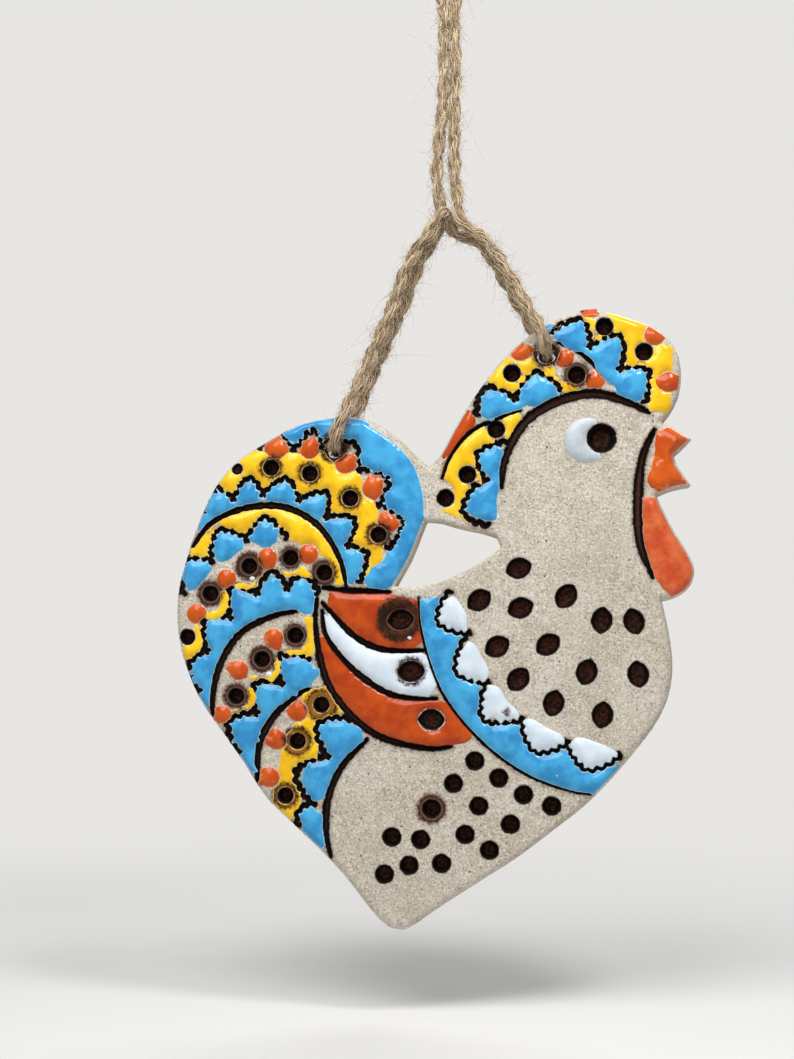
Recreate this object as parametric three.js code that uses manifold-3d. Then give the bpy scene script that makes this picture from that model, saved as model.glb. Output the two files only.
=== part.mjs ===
// Hanging ornament: a flat clay rooster, pressed with stamps, filled with coloured glaze
// and hung on one loop of jute twine that runs through two holes in the clay.
//
// Millimetres, +Z up, front of the plaque towards -Y. The drawing of the rooster has its
// origin at the lower tip of the clay, x to the right and z up, and the whole part is then
// moved so that its own origin is where a hook carries the loop of twine.

import * as THREE from 'three';
import { mergeVertices } from 'three/addons/utils/BufferGeometryUtils.js';
import Module from 'manifold-3d';

const wasm = await Module();
wasm.setup();

// Clay plaque
const PLAQUE_THICKNESS = 7;
const RIM_REACH = 1;
const RIM_DEPTH = 1.7;
const HOLE_RADIUS = 1.85;
const HOLE_FLARE = 0.7;
const OPENING_FLARE = 0.9;

// Pressed relief
const PIT_DEPTH = 2.2;
const PIT_TAPER = 0.4;
const BELLY_PIT_RADIUS = 1.85;
const FEATHER_PIT_RADIUS = 1.6;
const COMB_PIT_RADIUS = 1.75;
const PUPIL_RADIUS = 2.85;
const SEED_LENGTH = 5.2;
const SEED_WIDTH = 4.2;
const SEED_DEPTH = 1.7;
const GROOVE_WIDTH = 1.3;
const HEAD_GROOVE_WIDTH = 1.9;
const FINE_GROOVE_WIDTH = 0.8;
const GROOVE_DEPTH = 0.9;
const LACE_WIDTH = 1.1;
const COLLAR_LACE_WIDTH = 1.3;
const LACE_DEPTH = 0.7;

// Glaze
const GLAZE_THICKNESS = 0.6;
const EYE_RADIUS = 4.4;
const DOT_RADIUS = 1.85;
const DOT_CLEARANCE = 0.3;

// Twine
const TWINE_DIAMETER = 2;
const TWINE_GAP = 0.3;
const TWINE_CLEARANCE = 0.6;
const TWINE_RISE = 2.2;
const TWINE_LEAVE = 5;
const TWINE_STEP = 3.4;
const HOOK_ROOM = 3;
const BIGHT_DROP = 8;
const TWINE_PAIR = 2.3;
const HANG_POINT = { x: 9.9, z: 190 };

// Spacing of the points along a curve, in millimetres, in degrees of a lobe, and in all round a pit
const OUTLINE_STEP = 2.8;
const DETAIL_STEP = 1.7;
const LOBE_TURN = 30;
const LOBE_POWER = 1.55;
const PIT_SIDES = 10;

const FRONT = -PLAQUE_THICKNESS / 2;
const BACK = PLAQUE_THICKNESS / 2;

const CLAY = { color: 0xc9bfad, roughness: 0.9 };
const TWINE = { color: 0x927c63, roughness: 0.95 };
const GLAZE = {
  blue: { color: 0x4a9fd3, roughness: 0.2 },
  yellow: { color: 0xf5c314, roughness: 0.2 },
  orange: { color: 0xd2511a, roughness: 0.25 },
  coral: { color: 0xde6944, roughness: 0.35 },
  white: { color: 0xe0ebf5, roughness: 0.15 },
};

// Curves of the drawing

function curve(points, step = DETAIL_STEP, closed = false) {
  const corners = points.map(([x, z]) => new THREE.Vector3(x, z, 0));
  const line = new THREE.CatmullRomCurve3(corners, closed, 'centripetal');
  const count = Math.max(2, Math.round(line.getLength() / step));
  const samples = line.getSpacedPoints(count).map((p) => new THREE.Vector2(p.x, p.y));
  if (closed) samples.pop();
  return samples;
}

function loop(points, step = DETAIL_STEP) {
  return curve(points, step, true);
}

function ellipse(x, z, radiusX, radiusZ, tilt = 0, sides = PIT_SIDES) {
  const line = new THREE.EllipseCurve(x, z, radiusX, radiusZ, 0, 2 * Math.PI, false,
    THREE.MathUtils.degToRad(tilt));
  return line.getPoints(sides).slice(0, sides);
}

// A lace stamp leaves two full sides from one valley over a corner to the next valley. A power of
// one makes them half an ellipse, and a power of two makes them straight.
function laceLobe(valley, peak, next) {
  const middle = [(valley[0] + next[0]) / 2, (valley[1] + next[1]) / 2];
  const count = Math.round(180 / LOBE_TURN);
  const points = [];
  for (let i = 0; i <= count; i += 1) {
    const turn = Math.PI * i / count;
    const across = Math.sign(Math.cos(turn)) * Math.abs(Math.cos(turn)) ** LOBE_POWER;
    const up = Math.sin(turn) ** LOBE_POWER;
    points.push(new THREE.Vector2(
      middle[0] + (valley[0] - middle[0]) * across + (peak[0] - middle[0]) * up,
      middle[1] + (valley[1] - middle[1]) * across + (peak[1] - middle[1]) * up,
    ));
  }
  return points;
}

function laceLobes(stops) {
  const lobes = [];
  for (let i = 0; i + 2 < stops.length; i += 2) {
    lobes.push(laceLobe(stops[i], stops[i + 1], stops[i + 2]));
  }
  return lobes;
}

function lacePath(stops) {
  return laceLobes(stops).flatMap((lobe, i) => (i === 0 ? lobe : lobe.slice(1)));
}

// Joins stretches of an outline end to end, leaving out points that fall together and
// points on a straight run.
function outlineOf(...stretches) {
  const all = stretches.flat();
  const points = all.filter((p, i) => p.distanceTo(all[(i + 1) % all.length]) > 0.05);
  return points.filter((p, i) => {
    const before = points[(i + points.length - 1) % points.length];
    const after = points[(i + 1) % points.length];
    const bend = p.clone().sub(before).cross(after.clone().sub(p));
    return Math.abs(bend) > 1e-3;
  });
}

function sideways(points, closed) {
  const last = points.length - 1;
  return points.map((p, i) => {
    const before = points[i > 0 ? i - 1 : (closed ? last : 0)];
    const after = points[i < last ? i + 1 : (closed ? 0 : last)];
    const along = after.clone().sub(before).normalize();
    return new THREE.Vector2(along.y, -along.x);
  });
}

// The outline of a pressed line of even width with blunt ends.
function band(points, width) {
  const normals = sideways(points, false);
  const right = points.map((p, i) => p.clone().addScaledVector(normals[i], width / 2));
  const left = points.map((p, i) => p.clone().addScaledVector(normals[i], -width / 2));
  return [...right, ...left.reverse()];
}

// Solids

function counterClockwise(points) {
  return THREE.ShapeUtils.isClockWise(points) ? [...points].reverse() : points;
}

// Rings of one outline, each moved out by its own distance at its own depth, joined up and
// closed at both ends. The share says how much of that distance each point of it takes.
function loft(points, profile, share) {
  const outline = counterClockwise(points);
  const normals = sideways(outline, true);
  const rings = profile.map(([out]) => outline.map((p, i) => (
    p.clone().addScaledVector(normals[i], out * (share ? share[i] : 1))
  )));
  const size = outline.length;
  const positions = rings.flatMap((ring, level) => (
    ring.flatMap((p) => [p.x, profile[level][1], p.y])
  ));
  const index = [];
  for (let level = 0; level + 1 < rings.length; level += 1) {
    for (let i = 0; i < size; i += 1) {
      const a = level * size + i;
      const b = level * size + (i + 1) % size;
      index.push(a, b + size, b, a, a + size, b + size);
    }
  }
  const last = (rings.length - 1) * size;
  for (const [a, b, c] of THREE.ShapeUtils.triangulateShape(rings[0], [])) index.push(a, b, c);
  for (const [a, b, c] of THREE.ShapeUtils.triangulateShape(rings[rings.length - 1], [])) {
    index.push(last + a, last + c, last + b);
  }
  const geometry = new THREE.BufferGeometry();
  geometry.setAttribute('position', new THREE.Float32BufferAttribute(positions, 3));
  geometry.setIndex(index);
  return geometry;
}

function slab(points, front, back) {
  const geometry = new THREE.ExtrudeGeometry(new THREE.Shape(counterClockwise(points)), {
    depth: back - front,
    bevelEnabled: false,
  });
  return geometry.rotateX(Math.PI / 2).translate(0, back, 0);
}

function solid(geometry) {
  const plain = geometry.clone();
  plain.deleteAttribute('normal');
  plain.deleteAttribute('uv');
  const merged = mergeVertices(plain, 1e-4);
  return new wasm.Manifold(new wasm.Mesh({
    numProp: 3,
    vertProperties: Float32Array.from(merged.attributes.position.array),
    triVerts: Uint32Array.from(merged.index.array),
  }));
}

function joined(solids) {
  return solids.reduce((sum, next) => sum.add(next));
}

function largestPiece(body) {
  const pieces = body.decompose();
  return pieces.reduce((best, next) => (next.volume() > best.volume() ? next : best));
}

function geometryOf(body) {
  const { vertProperties, triVerts } = body.getMesh();
  const geometry = new THREE.BufferGeometry();
  geometry.setAttribute('position', new THREE.Float32BufferAttribute(vertProperties, 3));
  geometry.setIndex(Array.from(triVerts));
  geometry.computeVertexNormals();
  return geometry;
}

// Drawing of the plaque: stretches that meet at corners, counterclockwise from the dip
// between tail and comb

const BODY_EDGE = [
  [6, 90], [4.3, 91.3], [0.3, 95.3], [-5.7, 99.2], [-12.3, 100], [-19.3, 98.7], [-25.3, 95.5],
  [-32, 91.3], [-35.7, 87], [-39, 80.3], [-41.9, 71.7], [-43.3, 65.9], [-43.3, 58],
  [-41.9, 52], [-38.9, 45], [-35.4, 40], [-30.4, 33.1], [-25.6, 25.9], [-20.8, 21.4],
  [-11.2, 12.2], [-5.4, 5], [-2.7, 2.2], [0, 0.9], [2.7, 2], [7, 5], [14.7, 10], [22.5, 15],
  [29.8, 20.5], [35.5, 25], [40.5, 30], [45.2, 35.5], [49, 40.5], [51.4, 45.5], [52.3, 51],
  [51.8, 57], [50.4, 63.8],
];
const WATTLE_EDGE = [
  [50.4, 63.8], [52.6, 64.2], [55.5, 66.2], [56.7, 69.5], [55.4, 73], [52.8, 77.2], [51.1, 80.7],
  [49.6, 83.9],
];
const LOWER_BEAK_EDGE = [[49.6, 83.9], [52.8, 85.2], [56.2, 85.8]];
const MOUTH_LOWER_EDGE = [[56.2, 85.8], [54.9, 87.9], [53.5, 89.8], [53, 91.6]];
const MOUTH_UPPER_EDGE = [[53, 91.6], [54.6, 92.9], [56.4, 94.8]];
const UPPER_BEAK_EDGE = [[56.4, 94.8], [52.8, 97.2], [50.9, 98]];
const COMB_EDGE = [
  [50.9, 98], [53.5, 101.5], [54.6, 107.4], [53.5, 112.6], [50.1, 116.3], [44.9, 118.5],
  [40, 119.9], [34.5, 119.6], [28.6, 117.5], [22.3, 112.8], [17.5, 107.4], [11.9, 99.1],
  [8.5, 92.9], [7.4, 90.9], [6, 90],
];
const OPENING_EDGE = [
  [5.3, 79.4], [11.9, 78], [18.9, 76.2], [20.2, 74.8], [18.1, 72.7], [13.8, 70.1], [7.7, 67.5],
  [2, 66.5], [-0.6, 66.6], [1.7, 70.7], [4, 76],
];
const HANGING_HOLES = { left: [-12.5, 93.6], right: [28.7, 111.4] };

// Stamped lines

const LACES = {
  tailRim: [
    [-27.4, 93.4], [-23.2, 96.6], [-20.4, 93.1], [-16.6, 97.1], [-14.6, 93.6], [-8.5, 94.4],
    [-7.7, 89.2], [-2, 87.7], [-3.9, 82.4], [1.2, 79.2], [-2.3, 74],
  ],
  tailUpper: [
    [-38, 81.2], [-35.6, 85.8], [-32.2, 83.6], [-29.3, 88], [-26.5, 84.4], [-21.8, 87.8],
    [-19.5, 83.3], [-13.8, 85], [-14.2, 80], [-8.6, 79.8], [-10, 74.4], [-6, 72.9], [-7.8, 67.4],
  ],
  tailMiddle: [
    [-41.8, 65.2], [-41.6, 71.7], [-36.4, 71.5], [-35.2, 77.7], [-29.5, 75.7], [-26.2, 80.2],
    [-21.6, 76],
  ],
  tailMiddleLow: [
    [-15.6, 65.1], [-18.3, 69], [-21.6, 66], [-24.6, 69.6], [-27.4, 65.2], [-32.6, 66.2],
    [-32.4, 60.5], [-37.6, 60], [-36.9, 54.2], [-40.7, 51.3], [-38.4, 46.4],
  ],
  tailThird: [
    [-16.9, 52.7], [-22.8, 53.1], [-22.2, 47.8], [-27.7, 47.8], [-27.2, 42.2], [-32.8, 40.4],
    [-30.5, 34.7],
  ],
  tailLast: [
    [-9.4, 41], [-15.6, 40.2], [-13.2, 33.8], [-19.7, 31.2], [-16, 25.1], [-19.2, 23.6],
    [-19, 20.8],
  ],
  combTop: [
    [29.7, 115.5], [35.7, 118.4], [36.9, 112.5], [43.1, 114.9], [42.6, 108.1], [48.1, 107.9],
    [47.3, 101.6],
  ],
  combMiddle: [[15.5, 99.5], [17.2, 105.2], [22.8, 102.5], [26.4, 108.1], [31.5, 104.3]],
  combLowUpper: [[21.3, 94.3], [15.4, 92.2], [17.4, 86.9]],
  combLow: [[15.7, 86.4], [12.5, 81.1], [17.6, 78.7]],
};
const COLLAR_LACE = [
  [10.2, 65.8], [7.6, 59.8], [13.8, 57.8], [11, 50.4], [17.3, 48.4], [16.3, 41.2], [23.8, 41.5],
  [26, 35.2], [32.3, 37.2], [36, 31.8], [42.2, 35],
];

const TAIL_GROOVES = {
  upper: [
    [-40.3, 74.3], [-36.7, 79], [-30, 82], [-22.3, 82.2], [-15.7, 78.7], [-11.3, 72], [-10, 66.7],
  ],
  middle: [[-35.8, 41.2], [-36.1, 44.8], [-34.7, 51.5], [-30.6, 57.8], [-23.9, 61.2], [-19.6, 62]],
  third: [[-27.3, 29], [-26.8, 36.5], [-23.7, 42.2], [-18.9, 46.3], [-17.2, 47]],
  last: [[-5.9, 37.4], [-10.7, 32.4], [-13.4, 26.4], [-13.8, 19.2], [-12.9, 15.1]],
};
const WING_GROOVES = [
  [[-14.5, 66.5], [-9.2, 65.9], [-4.8, 65.8], [-1.6, 65.6]],
  [[-14.7, 63.6], [-8.3, 57], [-3.5, 54.7], [0.9, 54.3], [5, 54.4]],
  [[-14.7, 62], [-14, 57.5], [-10.5, 52.6], [-6.1, 48.7], [-1.3, 46], [4, 45.2], [7.4, 45.2]],
  [[-15.8, 64.5], [-16, 58.8], [-13.2, 47.4], [-4.8, 38.6], [6.2, 35.7], [10.2, 36.1]],
];
const HEAD_GROOVES = [
  [
    [19.9, 85.6], [20.6, 90.8], [24.4, 98.1], [30.6, 102.2], [37.9, 103.6], [44.2, 101.9],
    [48.3, 99.8],
  ],
  [[49.2, 96.5], [47.1, 91.8], [46.1, 85.3], [46.3, 74.9], [48.6, 68.3]],
];
const COLLAR_GROOVE = [
  [4, 64.5], [4.4, 58.8], [8.4, 46.5], [16.3, 36.8], [25.1, 30.6], [33.9, 27.6], [36.6, 27.3],
];
const COMB_GROOVES = {
  top: [[31, 113.7], [34.8, 111.9], [38.3, 108.8], [41, 105.7]],
  middle: [[8.6, 87.5], [9.9, 91.2], [14, 96.4], [18.8, 98.8], [20.6, 99.5], [23.7, 100.5]],
};

// Pressed pits: x and z

const BELLY_PITS = [
  [14.7, 33.4], [10.6, 29.1], [19.2, 30.2], [6.4, 24.3], [15.4, 24.9], [23.9, 27.1],
  [29.2, 25], [-1.2, 18.9], [4.3, 18.5], [12.8, 19.5], [21.4, 21.5], [-2.6, 11.9],
  [2.1, 13.6], [8.3, 14], [17.4, 16.6],
];
const FEATHER_PITS = [
  [-24.8, 89.9], [-17.2, 88.7], [-9.3, 83.8], [-3.8, 76.7], [-29, 70.7], [-20.9, 72.3],
  [-14.3, 69.4], [-36.6, 65.4], [-41.1, 57], [-19.9, 57.3], [-26.4, 52.7], [-31.4, 45.6],
  [-14.8, 44], [-19.4, 37], [-21.7, 26.6],
];
const COMB_PITS = [
  [39.9, 116.6], [47.4, 111.6], [22.1, 107.8], [34.5, 107.3], [19, 96.9], [13.4, 88.2],
  [9.2, 83.7],
];
const PUPIL = { x: 39.2, z: 95 };
const EYE = { x: 36.4, z: 94.6 };

// Seed shaped pits: x, z and tilt in degrees
const BREAST_SEEDS = [
  [23.2, 70.1, 18], [15.6, 64, 35], [23.5, 62.5, 20], [32.2, 64.7, 55], [38.9, 60.1, 82],
  [45, 59.9, 108], [19, 55.1, 30], [28.7, 55.5, 35], [23, 48.9, 50], [36, 50.3, 70],
  [45.7, 49.9, 100], [29.7, 44.4, 75], [38.9, 42.2, 80],
];
const WING_SEEDS = [[0.5, 60.3, 8], [2.5, 50.4, 5], [6.4, 41.2, 0]];

// A seed is two arcs that meet in a blunt point at each end.
function seed(x, z, tilt) {
  const half = PIT_SIDES / 2;
  const points = [];
  for (let i = 0; i < PIT_SIDES; i += 1) {
    const turn = Math.PI * i / half;
    const point = new THREE.Vector2(
      (Math.cos(turn) * 0.8 + Math.cos(turn) ** 3 * 0.2) * SEED_LENGTH / 2,
      Math.sin(turn) * SEED_WIDTH / 2,
    );
    point.rotateAround(new THREE.Vector2(), THREE.MathUtils.degToRad(tilt));
    points.push(point.add(new THREE.Vector2(x, z)));
  }
  return points;
}

// Cutters for the relief: each runs on past the top of the glaze, so that the same cut
// leaves clay and glaze flush.

const ABOVE = FRONT - GLAZE_THICKNESS * 2;

function pitCutter(outline, depth) {
  return solid(loft(outline, [[0, ABOVE], [0, FRONT], [-PIT_TAPER, FRONT + depth]]));
}

function lineCutter(points, width, depth) {
  return solid(slab(band(points, width), ABOVE, FRONT + depth));
}

function pitsOf(places, radius) {
  return places.map(([x, z]) => pitCutter(ellipse(x, z, radius, radius), PIT_DEPTH));
}

const laceCutters = [
  ...Object.values(LACES).flatMap((stops) => laceLobes(stops).map((lobe) => (
    lineCutter(lobe, LACE_WIDTH, LACE_DEPTH)
  ))),
  ...laceLobes(COLLAR_LACE).map((lobe) => lineCutter(lobe, COLLAR_LACE_WIDTH, LACE_DEPTH)),
];
const grooveCutters = [
  ...[...Object.values(TAIL_GROOVES), ...WING_GROOVES].map((points) => (
    lineCutter(curve(points, OUTLINE_STEP), GROOVE_WIDTH, GROOVE_DEPTH)
  )),
  ...HEAD_GROOVES.map((points) => (
    lineCutter(curve(points, OUTLINE_STEP), HEAD_GROOVE_WIDTH, GROOVE_DEPTH)
  )),
  ...[COLLAR_GROOVE, ...Object.values(COMB_GROOVES)].map((points) => (
    lineCutter(curve(points, OUTLINE_STEP), FINE_GROOVE_WIDTH, GROOVE_DEPTH)
  )),
];
const pitCutters = [
  ...pitsOf(BELLY_PITS, BELLY_PIT_RADIUS),
  ...pitsOf(FEATHER_PITS, FEATHER_PIT_RADIUS),
  ...pitsOf(COMB_PITS, COMB_PIT_RADIUS),
  pitCutter(ellipse(PUPIL.x, PUPIL.z, PUPIL_RADIUS, PUPIL_RADIUS, 0, 2 * PIT_SIDES), PIT_DEPTH),
  ...[...BREAST_SEEDS, ...WING_SEEDS].map((place) => pitCutter(seed(...place), SEED_DEPTH)),
];
const relief = joined([...laceCutters, ...grooveCutters, ...pitCutters]);

// Clay plaque

const silhouette = counterClockwise(outlineOf(
  curve(BODY_EDGE, OUTLINE_STEP),
  ...[WATTLE_EDGE, LOWER_BEAK_EDGE, MOUTH_LOWER_EDGE, MOUTH_UPPER_EDGE, UPPER_BEAK_EDGE]
    .map((edge) => curve(edge, DETAIL_STEP)),
  curve(COMB_EDGE, OUTLINE_STEP),
));

// The rim is rounded less where the clay runs out into a narrow point.
function rimShare(outline, reach) {
  const normals = sideways(outline, true);
  const share = outline.map((p, i) => {
    for (let part = 1; part > 0.2; part -= 0.1) {
      const inside = p.clone().addScaledVector(normals[i], -part * reach);
      const nearest = Math.min(...outline.map((q) => q.distanceTo(inside)));
      if (nearest > part * reach * 0.97) return part;
    }
    return 0.2;
  });
  const size = share.length;
  return share.map((value, i) => Math.min(
    value, share[(i + 1) % size] * 1.3, share[(i + size - 1) % size] * 1.3,
  ));
}

function rimProfile() {
  const rings = [];
  for (const turn of [0, 45, 90]) {
    const angle = THREE.MathUtils.degToRad(turn);
    rings.push([
      -RIM_REACH * (1 - Math.sin(angle)),
      FRONT + RIM_DEPTH * (1 - Math.cos(angle)),
    ]);
  }
  rings.push([0, BACK - RIM_DEPTH / 2], [-RIM_REACH * 0.3, BACK - RIM_DEPTH * 0.15]);
  rings.push([-RIM_REACH, BACK]);
  return rings;
}

const share = rimShare(silhouette, RIM_REACH);
const blank = solid(loft(silhouette, rimProfile(), share));

const flatZone = solid(loft(silhouette, [
  [-RIM_REACH, ABOVE], [-RIM_REACH, FRONT],
], share));

function throughCutter(outline, flare) {
  return solid(loft(outline, [
    [flare, ABOVE], [flare, FRONT], [flare * 0.3, FRONT + flare * 0.3], [0, FRONT + flare],
    [0, BACK - flare], [flare * 0.3, BACK - flare * 0.3], [flare, BACK], [flare, BACK + flare],
  ]));
}

const opening = throughCutter(loop(OPENING_EDGE, OUTLINE_STEP), OPENING_FLARE);
const hangingHoles = Object.values(HANGING_HOLES).map(([x, z]) => (
  throughCutter(ellipse(x, z, HOLE_RADIUS, HOLE_RADIUS), HOLE_FLARE)
));
const holesAndOpening = joined([opening, ...hangingHoles]);
const clay = blank.subtract(relief).subtract(holesAndOpening);

// Glaze pools. Their edges run to the middle of the stamped lines, which then part them.

const grooveLine = (points) => curve(points, OUTLINE_STEP);
const back = (points) => [...points].reverse();

const DOTS = [
  ['tail_rim_dot_1', -23.7, 93.5], ['tail_rim_dot_2', -17.2, 93.5],
  ['tail_rim_dot_3', -10.3, 90.6], ['tail_rim_dot_4', -5, 85.7], ['tail_rim_dot_5', -2, 79.3],
  ['tail_middle_dot_1', -25.4, 72.3], ['tail_middle_dot_2', -17.4, 73],
  ['tail_middle_dot_3', -33.4, 68.2], ['tail_middle_dot_4', -39.2, 61.5],
  ['tail_third_dot_1', -24.1, 56.7], ['tail_third_dot_2', -30.9, 50.6],
  ['tail_last_dot_1', -19.4, 42.7], ['tail_last_dot_2', -23.4, 37.3],
  ['tail_last_dot_3', -24.8, 30.1],
  ['comb_top_dot_1', 49.4, 114.7], ['comb_top_dot_2', 52, 105.7],
];
const ACCENTS = [
  ['comb_middle_accent_1', 24.2, 111.8, 2, 1.4, 25],
  ['comb_middle_accent_2', 32, 110.2, 1.8, 1.4, -10],
  ['comb_middle_accent_3', 37.9, 106.2, 1.9, 1.4, -20],
];

const spots = [
  ...DOTS.map(([name, x, z]) => ({ name, x, z, rx: DOT_RADIUS, rz: DOT_RADIUS, tilt: 0 })),
  ...ACCENTS.map(([name, x, z, rx, rz, tilt]) => ({ name, x, z, rx, rz, tilt })),
];

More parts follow.
